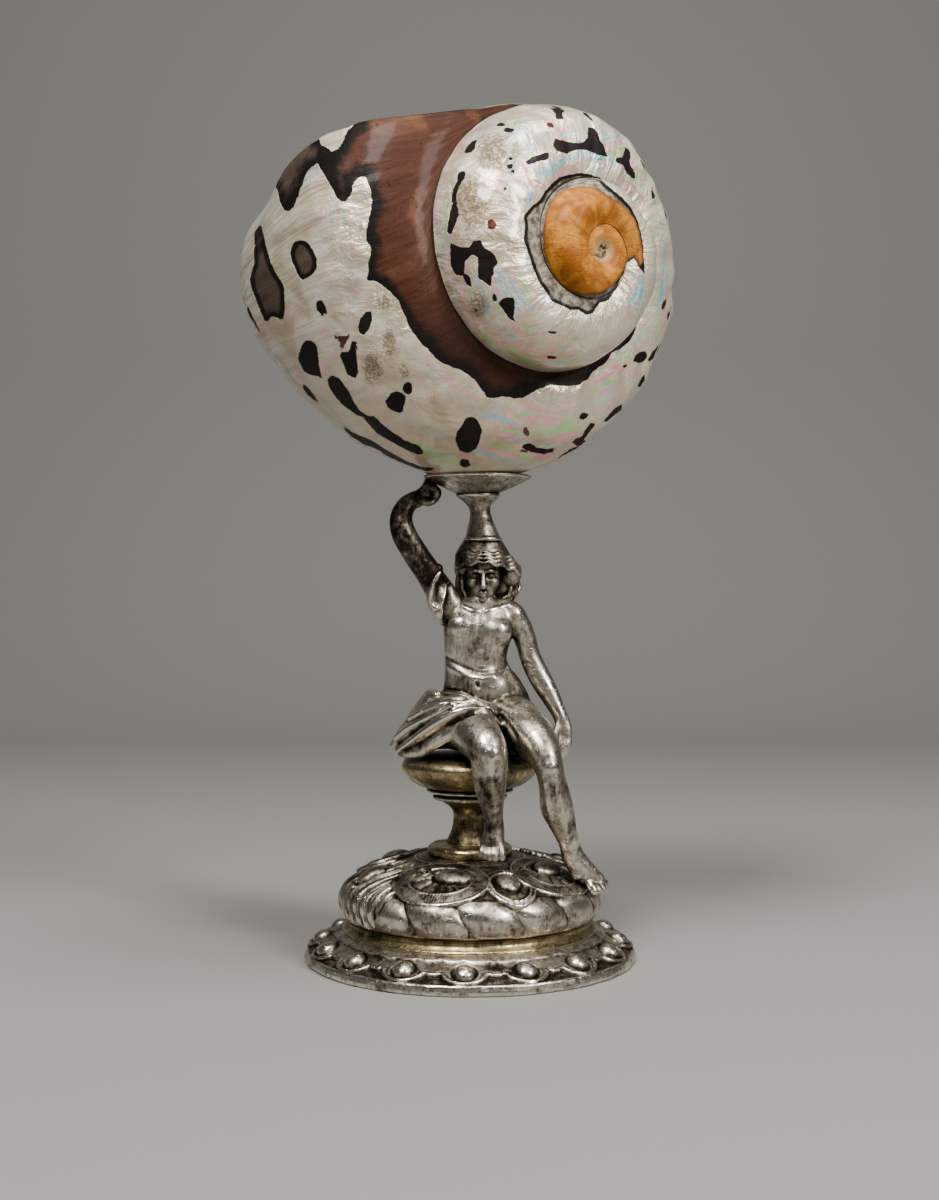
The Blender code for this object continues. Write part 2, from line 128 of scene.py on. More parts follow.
def setMask(mesh, name, values):
    layer = mesh.attributes.new(name, "FLOAT", "POINT")
    layer.data.foreach_set("value", np.ascontiguousarray(values, np.float32))


def evened(mesh, values, rounds):
    # Columns of values, each averaged with its neighbours' over and over.
    edges = np.empty(len(mesh.edges) * 2, np.int32)
    mesh.edges.foreach_get("vertices", edges)
    first, second = edges.reshape(-1, 2).T
    count = len(values)
    degree = np.maximum(np.bincount(edges, minlength=count), 1)
    smooth = values.copy()
    for _ in range(rounds):
        for axis in range(smooth.shape[1]):
            total = np.bincount(first, smooth[second, axis], count)
            total += np.bincount(second, smooth[first, axis], count)
            smooth[:, axis] = 0.4 * smooth[:, axis] + 0.6 * total / degree
    return smooth


def depthBelow(mesh, rounds):
    # How far each vertex lies below the surface that its neighbours would smooth to, in millimetres.
    places = vertexArray(mesh) / mm
    return ((evened(mesh, places, rounds) - places) * vertexArray(mesh, "normal")).sum(1)


def neighbourTree(ownNode):
    # The other CAD nodes, so that a piece is also sheltered by what stands next to it.
    places, faces = [], []
    for name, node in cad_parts.items():
        if name != ownNode:
            faces += [[len(places) + index for index in face.vertices] for face in node.data.polygons]
            places += [vert.co for vert in node.data.vertices]
    return BVHTree.FromPolygons(places, faces)


def rayTree(mesh):
    return BVHTree.FromPolygons([vert.co for vert in mesh.vertices],
                                [face.vertices for face in mesh.polygons])


def shelter(mesh, node, reach, directions=24):
    # The share of the sky above each vertex that the piece and its neighbours close off. Each vertex looks
    # along a third of the directions, and averaging with its neighbours brings in the others.
    trees = (rayTree(mesh), neighbourTree(node))
    golden = math.pi * (3 - math.sqrt(5))
    rays = []
    for index in range(directions):
        height = 1 - 2 * (index + 0.5) / directions
        ring = math.sqrt(1 - height * height)
        rays.append(Vector((ring * math.cos(golden * index), ring * math.sin(golden * index), height)))
    closed = np.zeros(len(mesh.vertices))
    for index, (vert, normal) in enumerate(zip(mesh.vertices, mesh.vertex_normals)):
        up = normal.vector
        start = vert.co + up * 0.25 * mm
        total = hit = 0.0
        for ray in rays[index % 3::3]:
            lean = ray.dot(up)
            if lean > 0.1:
                total += lean
                casts = [tree.ray_cast(start, ray, reach * mm)[3] for tree in trees]
                found = [gap for gap in casts if gap]
                if found:
                    hit += lean * (1 - min(found) / (reach * mm))
        closed[index] = hit / max(total, 1e-6)
    return evened(mesh, closed[:, None], 4)[:, 0]


def finishMesh(shape, name):
    # Closes doubles, turns the faces out and scales the builder's millimetres to metres.
    bmesh.ops.remove_doubles(shape, verts=shape.verts, dist=1e-4)
    bmesh.ops.dissolve_degenerate(shape, dist=1e-5, edges=shape.edges)
    bmesh.ops.recalc_face_normals(shape, faces=shape.faces)
    bmesh.ops.scale(shape, vec=(mm, mm, mm), verts=shape.verts)
    mesh = bpy.data.meshes.new(name)
    shape.to_mesh(mesh)
    shape.free()
    mesh.shade_smooth()
    return mesh


def addPiece(name, mesh, material, node):
    piece = bpy.data.objects.new(name, mesh)
    bpy.context.collection.objects.link(piece)
    mesh.materials.clear()
    mesh.materials.append(material)
    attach(piece, "root")
    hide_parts(node)


def castInOne(mesh, grain, softening):
    # Joins overlapping closed bodies to one skin, as a casting is, and returns the new mesh.
    body = bpy.data.objects.new("castingPattern", mesh)
    bpy.context.collection.objects.link(body)
    flow = body.modifiers.new("One skin", "REMESH")
    flow.mode = "VOXEL"
    flow.voxel_size = grain * mm
    soften = body.modifiers.new("Soft edges", "SMOOTH")
    soften.factor, soften.iterations = 0.5, softening
    cast = bpy.data.meshes.new_from_object(body.evaluated_get(bpy.context.evaluated_depsgraph_get()))
    bpy.data.objects.remove(body)
    cast.shade_smooth()
    return cast


# Camera, floor and soft light

studio = {
    "floorColour": (0.25, 0.243, 0.225),
    "floorSize": 1.6,
    "wallDistance": 0.5,
    "wallCurve": 0.25,
    "wallHeight": 1.3,
    "worldColour": (0.62, 0.63, 0.65),
    "worldStrength": 0.1,
    # name: (place, aimed at, width, height, watts, colour)
    "lights": {
        "windowLight": ((-0.2, -0.42, 0.72), (0.0, 0.0, 0.11), 0.2, 0.26, 7.4, (1.0, 0.985, 0.96)),
        "topLight": ((0.1, -0.14, 0.8), (0.0, 0.0, 0.08), 0.3, 0.22, 3.6, (1.0, 0.985, 0.96)),
        "rightFill": ((0.44, -0.4, 0.46), (0.0, 0.0, 0.08), 0.14, 0.28, 4.2, (1.0, 0.99, 0.97)),
    },
}


def setCamera():
    camera = bpy.data.cameras.new("photoCamera")
    camera.sensor_width = view["sensor"]
    camera.lens = view["reach"] * view["sensor"] / view["height"]
    camera.shift_x = (view["width"] / 2 - view["centre"][0]) / view["height"]
    camera.shift_y = (view["centre"][1] - view["height"] / 2) / view["height"]
    camera.clip_start = 0.02
    holder = bpy.data.objects.new("photoCamera", camera)
    holder.location = Vector(view["eye"]) * mm
    holder.rotation_euler = (math.radians(90), 0, 0)
    bpy.context.collection.objects.link(holder)
    bpy.context.scene.camera = holder


def setStudio():
    shape = bmesh.new()
    half, wall, curve = studio["floorSize"], studio["wallDistance"], studio["wallCurve"]
    profile = [(-half, 0.0), (wall, 0.0)]
    profile += [(wall + curve * math.sin(turn), curve * (1 - math.cos(turn)))
                for turn in (math.radians(angle) for angle in range(6, 91, 6))]
    profile.append((wall + curve, studio["wallHeight"]))
    line = [shape.verts.new((-half, y, z)) for y, z in profile]
    edges = [shape.edges.new(pair) for pair in zip(line, line[1:])]
    swept = bmesh.ops.extrude_edge_only(shape, edges=edges)["geom"]
    farSide = [part for part in swept if isinstance(part, bmesh.types.BMVert)]
    bmesh.ops.translate(shape, vec=(2 * half, 0, 0), verts=farSide)
    bmesh.ops.recalc_face_normals(shape, faces=shape.faces)
    mesh = bpy.data.meshes.new("studioFloor")
    shape.to_mesh(mesh)
    shape.free()
    mesh.shade_smooth()
    material = bpy.data.materials.new("studioPaper")
    material.use_nodes = True
    shader = material.node_tree.nodes["Principled BSDF"]
    shader.inputs["Base Color"].default_value = (*studio["floorColour"], 1)
    shader.inputs["Roughness"].default_value = 0.9
    mesh.materials.append(material)
    floor = bpy.data.objects.new("studioFloor", mesh)
    bpy.context.collection.objects.link(floor)
    for name, (place, aim, width, height, watts, colour) in studio["lights"].items():
        lamp = bpy.data.lights.new(name, "AREA")
        lamp.shape = "RECTANGLE"
        lamp.size, lamp.size_y, lamp.energy, lamp.color = width, height, watts, colour
        holder = bpy.data.objects.new(name, lamp)
        holder.location = place
        holder.rotation_euler = (Vector(aim) - Vector(place)).to_track_quat("-Z", "Y").to_euler()
        bpy.context.collection.objects.link(holder)
    world = bpy.data.worlds.new("studioAir")
    world.use_nodes = True
    air = world.node_tree.nodes["Background"]
    air.inputs["Color"].default_value = (*studio["worldColour"], 1)
    air.inputs["Strength"].default_value = studio["worldStrength"]
    bpy.context.scene.world = world


setCamera()
setStudio()
print("Camera, floor and lights are set")


# Shader building blocks

def plug(tree, socket, value):
    if isinstance(value, bpy.types.NodeSocket):
        tree.links.new(value, socket)
    elif value is not None:
        if isinstance(value, tuple) and len(value) == 3 and socket.type == "RGBA":
            value = (*value, 1.0)
        socket.default_value = value


def mathOf(tree, operation, *values):
    made = tree.nodes.new("ShaderNodeMath")
    made.operation = operation
    for socket, value in zip(made.inputs, values):
        plug(tree, socket, value)
    return made.outputs[0]


def plus(tree, first, second):
    return mathOf(tree, "ADD", first, second)


def minus(tree, first, second):
    return mathOf(tree, "SUBTRACT", first, second)


def times(tree, first, second):
    return mathOf(tree, "MULTIPLY", first, second)


def blendOf(tree, share, first, second):
    made = tree.nodes.new("ShaderNodeMix")
    made.data_type = "RGBA"
    made.clamp_factor = True
    for socket, value in zip((made.inputs[0], made.inputs[6], made.inputs[7]), (share, first, second)):
        plug(tree, socket, value)
    return made.outputs[2]


def rangeOf(tree, value, low, high, toLow=0.0, toHigh=1.0):
    made = tree.nodes.new("ShaderNodeMapRange")
    made.interpolation_type = "SMOOTHSTEP"
    for socket, given in zip(made.inputs, (value, low, high, toLow, toHigh)):
        plug(tree, socket, given)
    return made.outputs[0]


def noiseOf(tree, places, scale, detail, roughness, distortion):
    made = tree.nodes.new("ShaderNodeTexNoise")
    plug(tree, made.inputs["Vector"], places)
    made.inputs["Scale"].default_value = scale
    made.inputs["Detail"].default_value = detail
    made.inputs["Roughness"].default_value = roughness
    made.inputs["Distortion"].default_value = distortion
    return made.outputs["Fac"]


def cloudOf(tree, places, grain, detail=3.0, roughness=0.55, distortion=0.0):
    # A noise whose grain is the size of its features in millimetres where places are Object coordinates.
    return noiseOf(tree, places, 1.0 / (grain * mm), detail, roughness, distortion)


def splitOf(tree, places):
    made = tree.nodes.new("ShaderNodeSeparateXYZ")
    plug(tree, made.inputs[0], places)
    return made.outputs


def maskOf(tree, name):
    made = tree.nodes.new("ShaderNodeAttribute")
    made.attribute_name = name
    return made.outputs["Fac"]


def placesOf(tree):
    return tree.nodes.new("ShaderNodeTexCoord").outputs["Object"]


def stretched(tree, places, scale, turn=(0.0, 0.0, 0.0)):
    made = tree.nodes.new("ShaderNodeMapping")
    plug(tree, made.inputs["Vector"], places)
    made.inputs["Scale"].default_value = scale
    made.inputs["Rotation"].default_value = turn
    return made.outputs[0]


def newGroup(name, takes, gives):
    group = bpy.data.node_groups.new(name, "ShaderNodeTree")
    for label, value in takes.items():
        socket = group.interface.new_socket(name=label, in_out="INPUT", socket_type="NodeSocketFloat")
        socket.default_value = value
    for label in gives:
        group.interface.new_socket(name=label, in_out="OUTPUT", socket_type="NodeSocketFloat")
    return group, group.nodes.new("NodeGroupInput").outputs, group.nodes.new("NodeGroupOutput").inputs


def placeGroup(tree, group, **values):
    made = tree.nodes.new("ShaderNodeGroup")
    made.node_tree = group
    for label, value in values.items():
        plug(tree, made.inputs[label], value)
    return made.outputs


silver = {
    "bright": (0.80, 0.745, 0.65),
    "grey": (0.27, 0.232, 0.178),
    "dark": (0.024, 0.018, 0.013),
    "gold": (0.52, 0.41, 0.215),
    "roughWorn": 0.22,
    "roughDark": 0.44,
    "bump": 0.00014,  # metres
    "patchSize": 6.0,
    "freckleSize": 1.3,
    "darkPatches": 3.8,
    "darkFreckles": 2.2,
    "darkBrushed": 1.2,
    "greyPatches": 2.6,
    "greyFreckles": 1.2,
    "greyBrushed": 1.0,
}


def makeTarnishAndShade():
    # Dark where sunk or sheltered (patina, plus painted shade on the figure), with cloudy patches and
    # freckles, and bright where cloths rub it.
    group, takes, gives = newGroup("tarnishAndShade", {"Sunk": 0.0, "Broad": 0.0, "Sheltered": 0.0, "Amount": 0.0},
                                   ("Dark", "Grey", "Worn"))
    places = placesOf(group)
    patches = minus(group, cloudOf(group, places, silver["patchSize"], 6.0, 0.66), 0.5)
    freckles = minus(group, cloudOf(group, places, silver["freckleSize"], 5.0, 0.68), 0.5)
    brushed = minus(group, cloudOf(group, stretched(group, places, (1.0, 1.0, 0.16)), 0.6, 4.0, 0.6), 0.5)
    raised = plus(group, times(group, takes["Sunk"], 3.6), times(group, takes["Broad"], 0.9))
    depth = plus(group, raised, times(group, takes["Sheltered"], 1.5))
    depth = plus(group, depth, takes["Amount"])
    spotty = plus(group, times(group, patches, silver["darkPatches"]),
                  times(group, freckles, silver["darkFreckles"]))
    spotty = plus(group, spotty, times(group, brushed, silver["darkBrushed"]))
    plug(group, gives["Dark"], rangeOf(group, plus(group, depth, spotty), 0.35, 1.35))
    grey = plus(group, times(group, patches, silver["greyPatches"]),
                times(group, freckles, silver["greyFreckles"]))
    grey = plus(group, depth, plus(group, grey, times(group, brushed, silver["greyBrushed"])))
    plug(group, gives["Grey"], rangeOf(group, grey, -0.35, 0.7))
    plug(group, gives["Worn"], rangeOf(group, plus(group, raised, times(group, patches, 0.5)), -0.05, -0.55))
    return group


def makeHandling():
    # Fine scratches one way and the other, small dents and a soft ripple: a height and a cloud for roughness.
    group, takes, gives = newGroup("handling", {"Ripple": 1.0}, ("Height", "Cloud"))
    places = placesOf(group)
    along = cloudOf(group, stretched(group, places, (1.0, 1.0, 0.06), (0.3, 0.5, 0.2)), 0.35, 2.0)
    across = cloudOf(group, stretched(group, places, (0.07, 1.0, 1.0), (0.2, 0.9, 0.5)), 0.3, 2.0)
    dents = cloudOf(group, places, 1.6, 2.0, 0.5)
    scratches = plus(group, rangeOf(group, along, 0.62, 0.7), rangeOf(group, across, 0.63, 0.7))
    height = times(group, times(group, dents, takes["Ripple"]), 0.6)
    plug(group, gives["Height"], minus(group, height, times(group, scratches, 0.12)))
    plug(group, gives["Cloud"], plus(group, times(group, dents, 0.5), times(group, scratches, 0.25)))
    return group


tarnishAndShade = makeTarnishAndShade()
handling = makeHandling()


def metalMaterial(name, darkening, gilding):
    # Aged silver. Gilding is how much of it keeps traces of gold, and darkening how far the tarnish went.
    material = bpy.data.materials.new(name)
    material.use_nodes = True
    tree = material.node_tree
    shader = tree.nodes["Principled BSDF"]
    shader.inputs["Metallic"].default_value = 1.0
    old = placeGroup(tree, tarnishAndShade, Sunk=maskOf(tree, "sunk"), Broad=maskOf(tree, "broad"),
                     Sheltered=maskOf(tree, "sheltered"), Amount=darkening)
    touched = placeGroup(tree, handling, Ripple=1.0)
    places = placesOf(tree)
    metal = blendOf(tree, old["Grey"], silver["bright"], silver["grey"])
    traces = plus(tree, cloudOf(tree, places, 5.0, 5.0, 0.62, 0.6), gilding - 0.5)
    traces = minus(tree, traces, times(tree, old["Worn"], 0.1))
    gilt = blendOf(tree, old["Grey"], silver["gold"], tuple(part * 0.5 for part in silver["gold"]))
    metal = blendOf(tree, rangeOf(tree, traces, 0.44, 0.6), metal, gilt)
    colour = blendOf(tree, old["Dark"], metal, silver["dark"])
    plug(tree, shader.inputs["Base Color"], colour)
    rough = plus(tree, rangeOf(tree, old["Grey"], 0.0, 1.0, silver["roughWorn"], silver["roughDark"]),
                 times(tree, minus(tree, touched["Cloud"], 0.3), 0.2))
    plug(tree, shader.inputs["Roughness"], rough)
    raised = tree.nodes.new("ShaderNodeBump")
    raised.inputs["Distance"].default_value = silver["bump"]
    raised.inputs["Strength"].default_value = 1.0
    plug(tree, raised.inputs["Height"], touched["Height"])
    plug(tree, shader.inputs["Normal"], raised.outputs[0])
    return material


figureSilver = metalMaterial("figureSilver", 0.32, 0.04)
footSilver = metalMaterial("footSilver", 0.36, 0.16)
wornGilt = metalMaterial("wornGilt", 0.36, 0.68)
paleGilt = metalMaterial("paleGilt", 0.2, 0.95)
plainSilver = metalMaterial("plainSilver", 0.3, 0.08)
print("Metals are mixed")


def dressMetal(mesh, node, fine=3, broad=24, reach=7.0, extraShadeAndTarnish=0.0):
    # The masks that the metals read, measured on the finished mesh. The extra darkening is painted shade on
    # the figure and tarnish on the foot.
    setMask(mesh, "sunk", depthBelow(mesh, fine))
    setMask(mesh, "broad", depthBelow(mesh, broad))
    setMask(mesh, "sheltered", shelter(mesh, node, reach) + extraShadeAndTarnish)


# The shell

shell = {
    "apex": (27.5, -36.5, 160.3),
    "axisTurn": math.radians(34.5),
    "axisRise": math.radians(-1.5),
    "mouthAngle": math.radians(104.9),
    "shrink": (0.295, 0.201, -0.016),
    "tubeOut": 21.7,
    "tubeDown": 67.8,
    "tubeRadius": 38.4,
    "downPower": 1.5,
    "tubeAspect": 0.81,
    "tubeLean": math.radians(22.7),
    "apexTurns": 3.3,
    "backSqueeze": 0.42,
    "backSoft": 20.0,
    "pushes": (((-53, -8, 155), 18, (-2.8, 0, 0)), ((-48, -12, 177), 11, (2.2, 0.6, -0.8)),
               ((28, -22, 193), 16, (1.0, 0, 1.2)), ((-2, 0, 114), 17, (0, 0, -1.9)),
               ((24, -12, 122), 13, (0.6, 0, -0.9))),
    "lipPlanes": (((13.6, -18.8, 198.2), (-0.275, 0.315, 0.909)),
                  ((13.6, -18.8, 198.2), (-0.098, -0.278, 0.956)),
                  ((-35.4, -28.6, 189.8), (-0.63, -0.26, 0.73))),
    "lipSoft": 1.2,
    "seamLip": -0.06,
    "pillarLip": 0.22,
    "lipLimit": 0.3,
    "lipFade": 12 / 34,  # the share of a turn over which the rows straighten behind the lip
    "innerLipFade": 26 / 34,
    "wall": 2.2,
    "callus": 1.2,
    "pillar": 5.4,
    "pillarStart": 0.2,
    "chamberEnd": 0.42,
    "rowsPerTurn": 272,
    "spireColumns": 60,
    "baseColumns": 56,
    "pillarColumns": 6,
    "lipSteps": 7,
    "chamberRows": 46,
    "mouthCentre": (-28, 0, 170),
    "lumpSize": 13,
    "lumpHeight": 0.6,
    "dimpleSize": 5.5,
    "dimpleHeight": 0.44,
    "ripplesPerTurn": 46,
    "rippleHeight": 0.44,
    "rippleUnderBrown": 0.1,
    "markDepth": 12,  # marks reach no further than this behind what the camera sees
    "nubRadius": 2.5,
    "skyReach": 30,
    "skyDirections": 14,
    "backSeed": 41,
    "backSpots": 64,
    # half length and half width of the spots on the base and back
    "backSpotKinds": ((3.6, 1.6), (2.2, 1.5), (1.5, 1.0), (5.4, 1.3), (1.0, 0.8), (3.0, 2.4)),
}
seamColumn = shell["spireColumns"]
lastColumn = shell["spireColumns"] + shell["baseColumns"] + shell["pillarColumns"]


def growth(turn):
    # The tube's centre out from the axis, its centre down from the apex, and its radius.
    size = math.exp(-sum(rate * turn ** (power + 1) for power, rate in enumerate(shell["shrink"])))
    return shell["tubeOut"] * size, shell["tubeDown"] * size ** shell["downPower"], shell["tubeRadius"] * size


def toRound(point):
    c, s = math.cos(shell["tubeLean"]), math.sin(shell["tubeLean"])
    along, across = c * point[0] + s * point[1], c * point[1] - s * point[0]
    return along / shell["tubeAspect"], across * shell["tubeAspect"]


def fromRound(point):
    c, s = math.cos(shell["tubeLean"]), math.sin(shell["tubeLean"])
    along, across = point[0] * shell["tubeAspect"], point[1] / shell["tubeAspect"]
    return c * along - s * across, s * along + c * across


def sectionPoint(turn, angle, inset=0.0):
    out, down, radius = growth(turn)
    centre = toRound((out, down))
    return fromRound((centre[0] + (radius - inset) * math.cos(angle),
                      centre[1] + (radius - inset) * math.sin(angle)))


@lru_cache(maxsize=None)
def seamAngles(turn, inset=0.0, outset=0.0):
    # Where this whorl's circle meets the one before it, as an angle on each of them.
    radius, smaller = growth(turn)[2] - inset, growth(turn + 1)[2] + outset
    first, second = Vector(toRound(growth(turn)[:2])), Vector(toRound(growth(turn + 1)[:2]))
    gap = second - first
    share = (radius**2 - smaller**2 + gap.length_squared) / (2 * gap.length)
    half = math.sqrt(max(radius**2 - share**2, 0.0))
    base, spread = math.atan2(gap.y, gap.x), math.atan2(half, share)
    best = min((base + spread, base - spread), key=lambda angle: sectionPoint(turn, angle, inset)[1])
    there = first + radius * Vector((math.cos(best), math.sin(best))) - second
    return best, math.atan2(there.y, there.x)


@lru_cache(maxsize=None)
def pillarAngle(turn, reach, inset=0.0):
    out, _, radius = growth(turn)
    c, s = math.cos(shell["tubeLean"]), math.sin(shell["tubeLean"])
    stretch = math.hypot(shell["tubeAspect"] * c, s / shell["tubeAspect"])
    lead = math.atan2(s / shell["tubeAspect"], shell["tubeAspect"] * c)
    return math.acos(max(-1.0, min(1.0, (reach - out) / ((radius - inset) * stretch)))) - lead


@lru_cache(maxsize=None)
def columnAngle(turn, column):
    # 0 at the seam, seamColumn at the next seam, lastColumn on the shell's axis.
    start, seam = seamAngles(turn)[0], seamAngles(turn - 1)[1]
    if column <= seamColumn:
        return start + (seam - start) * column / seamColumn
    end = pillarAngle(turn, shell["pillarStart"])
    return seam + (end - seam) * (column - seamColumn) / (lastColumn - seamColumn)


downAxis = Vector((-math.sin(shell["axisTurn"]), math.cos(shell["axisTurn"]), 0))
downAxis *= math.cos(shell["axisRise"])
downAxis.z = -math.sin(shell["axisRise"])
rightAxis = Vector((0, 0, 1)).cross(-downAxis).normalized()
overAxis = (-downAxis).cross(rightAxis)
pushes = [(Vector(centre), width, Vector(push)) for centre, width, push in shell["pushes"]]


def shellPlace(turn, point):
    angle = shell["mouthAngle"] + math.tau * turn
    there = Vector(shell["apex"]) + point[1] * downAxis
    there += point[0] * (math.cos(angle) * rightAxis + math.sin(angle) * overAxis)
    if there.y > 0:
        there.y -= shell["backSqueeze"] * there.y**2 / (there.y + shell["backSoft"])
    moved = there.copy()
    for centre, width, push in pushes:
        moved += push * math.exp(-(there - centre).length_squared / width**2)
    return moved


lipPlanes = [(Vector(there), Vector(normal).normalized()) for there, normal in shell["lipPlanes"]]


def pastLip(point):
    past = [(point - there).dot(normal) for there, normal in lipPlanes]
    most = max(past)
    return most + shell["lipSoft"] * math.log(sum(math.exp((value - most) / shell["lipSoft"])
                                                  for value in past))


def lipTurn(column):
    low, high = shell["seamLip"], shell["lipLimit"]
    for _ in range(20):
        middle = (low + high) / 2
        here = sectionPoint(middle, columnAngle(middle, column))
        if pastLip(shellPlace(middle, here)) > -shell["wall"] / 2:
            low = middle
        else:
            high = middle
    return (low + high) / 2


def smoothLips():
    lips = [shell["seamLip"]] + [lipTurn(column) for column in range(1, lastColumn - shell["pillarColumns"])]
    lips += [shell["pillarLip"]] * (shell["pillarColumns"] + 1)
    for _ in range(12):
        lips = [lips[0]] + [(a + 2 * b + c) / 4 for a, b, c in zip(lips, lips[1:], lips[2:])] + [lips[-1]]
    return lips


lips = smoothLips()


def innerLipShare(column):
    return math.sin(math.pi / 2 * max(0.0, (column - seamColumn) / (lastColumn - seamColumn))) ** 2


def turnAt(row, column):
    behind = row / shell["rowsPerTurn"]
    turn = lips[0] + behind + (lips[column] - lips[0]) * max(0.0, 1 - behind / shell["lipFade"])
    late = max(0.0, 1 - (1 - behind) / shell["innerLipFade"])
    return turn + (shell["pillarLip"] - shell["seamLip"]) * innerLipShare(column) * late


def skinPlace(row, column):
    if column == seamColumn and row >= shell["rowsPerTurn"]:
        row, column = row - shell["rowsPerTurn"], 0
    turn = turnAt(row, column)
    return shellPlace(turn, sectionPoint(turn, columnAngle(turn, column)))


ownColumns = list(range(lastColumn + 1))
bridgeColumns = 10
backColumns = list(range(lastColumn, seamColumn - 1, -1))
ringCount = len(ownColumns) + bridgeColumns - 1 + len(backColumns)


def chamberPoint(turn, ring, thick):
    # A point of the chamber's section in the half plane: own wall, then the pillar, then the whorl before.
    reach = shell["pillarStart"] + (shell["pillar"] - shell["pillarStart"]) * thick
    own, other = seamAngles(turn, shell["wall"] * thick, shell["callus"] * thick)
    ownEnd = pillarAngle(turn, reach, shell["wall"] * thick)
    otherEnd = pillarAngle(turn + 1, reach, -shell["callus"] * thick)
    if ring < len(ownColumns):
        start, end = seamAngles(turn)[0], pillarAngle(turn, shell["pillarStart"])
        share = (columnAngle(turn, ownColumns[ring]) - start) / (end - start)
        return sectionPoint(turn, own + (ownEnd - own) * share, shell["wall"] * thick)
    back = ring - len(ownColumns) - bridgeColumns + 1
    if back < 0:
        first = sectionPoint(turn, ownEnd, shell["wall"] * thick)
        second = sectionPoint(turn + 1, otherEnd, -shell["callus"] * thick)
        share = (ring - len(ownColumns) + 1) / bridgeColumns
        return first[0] + (second[0] - first[0]) * share, first[1] + (second[1] - first[1]) * share
    share = (backColumns[back] - seamColumn) / (lastColumn - seamColumn)
    return sectionPoint(turn + 1, other + (otherEnd - other) * share, -shell["callus"] * thick)


def lipStart(ring):
    if ring < len(ownColumns):
        return lips[ownColumns[ring]]
    back = ring - len(ownColumns) - bridgeColumns + 1
    column = lastColumn if back < 0 else backColumns[back]
    return shell["seamLip"] + (shell["pillarLip"] - shell["seamLip"]) * innerLipShare(column)


def chamberPlace(row, ring):
    # The first rows round the lip over from the outside to the inside, and the last ones close the chamber.
    ring %= ringCount
    start = lipStart(ring)
    outer = ring < len(ownColumns)
    edge = min(ring, max(len(ownColumns) - 1 - ring, 0)) / 10 if outer else 0.0
    rounded = min(1.0, max(edge, 0.0))
    if row <= shell["lipSteps"]:
        angle = math.pi * row / shell["lipSteps"]
        thick = (1 - math.cos(angle)) / 2
        turn = start + 0.012 * (1 - rounded) * row / shell["lipSteps"]
        point = chamberPoint(turn, ring, thick)
        there = shellPlace(turn, point)
        ahead = (shellPlace(turn - 0.004, point) - there).normalized()
        return there + ahead * (shell["wall"] / 2 * math.sin(angle) * rounded)
    share = (row - shell["lipSteps"]) / (shell["chamberRows"] - shell["lipSteps"])
    begin = start + 0.012 * (1 - rounded)
    turn = begin + (shell["chamberEnd"] - begin) * share
    closing = 1 - math.sqrt(max(0.0, 1 - max(0.0, (share - 0.72) / 0.28) ** 2))
    point = chamberPoint(turn, ring, 1.0)
    middle = chamberMiddle(round(turn, 6))
    return shellPlace(turn, (point[0] + (middle[0] - point[0]) * closing,
                             point[1] + (middle[1] - point[1]) * closing))


@lru_cache(maxsize=None)
def chamberMiddle(turn):
    points = [chamberPoint(turn, ring, 1.0) for ring in range(0, ringCount, 6)]
    return sum(point[0] for point in points) / len(points), sum(point[1] for point in points) / len(points)


def growShell():
    shape = bmesh.new()
    uvLayer = shape.loops.layers.uv.new("growth")
    perTurn = shell["rowsPerTurn"]
    rows = round((shell["apexTurns"] - shell["seamLip"]) * perTurn)

    def skinUv(row, column):
        return lips[0] + row / perTurn, column / seamColumn

    wovenGrid(shape, perTurn, lastColumn, skinPlace, uvLayer, skinUv)
    wovenGrid(shape, rows - perTurn, seamColumn, lambda row, column: skinPlace(row + perTurn, column),
              uvLayer, lambda row, column: skinUv(row + perTurn, column))
    bmesh.ops.remove_doubles(shape, verts=shape.verts, dist=1e-4)
    axisEnd = Vector(shell["apex"])
    tipEdges = [edge for edge in shape.edges
                if edge.is_boundary and all((vert.co - axisEnd).length < 9 for vert in edge.verts)]
    cap = bmesh.ops.holes_fill(shape, edges=tipEdges, sides=0)["faces"]
    bmesh.ops.poke(shape, faces=cap)
    nub = [vert for vert in shape.verts if (vert.co - axisEnd).length < 5.5]
    for _ in range(16):
        bmesh.ops.smooth_vert(shape, verts=nub, factor=0.5, use_axis_x=True, use_axis_y=True, use_axis_z=True)
    wovenGrid(shape, shell["chamberRows"], ringCount, chamberPlace, uvLayer,
              lambda row, ring: (row / shell["chamberRows"], 3 + ring / ringCount))
    return finishMesh(shape, "polishedShell")


shellMesh = growShell()
print("The shell is grown:", len(shellMesh.polygons), "faces")

# The markings are outlines in photo pixels, laid on the side of the shell that faces the camera.

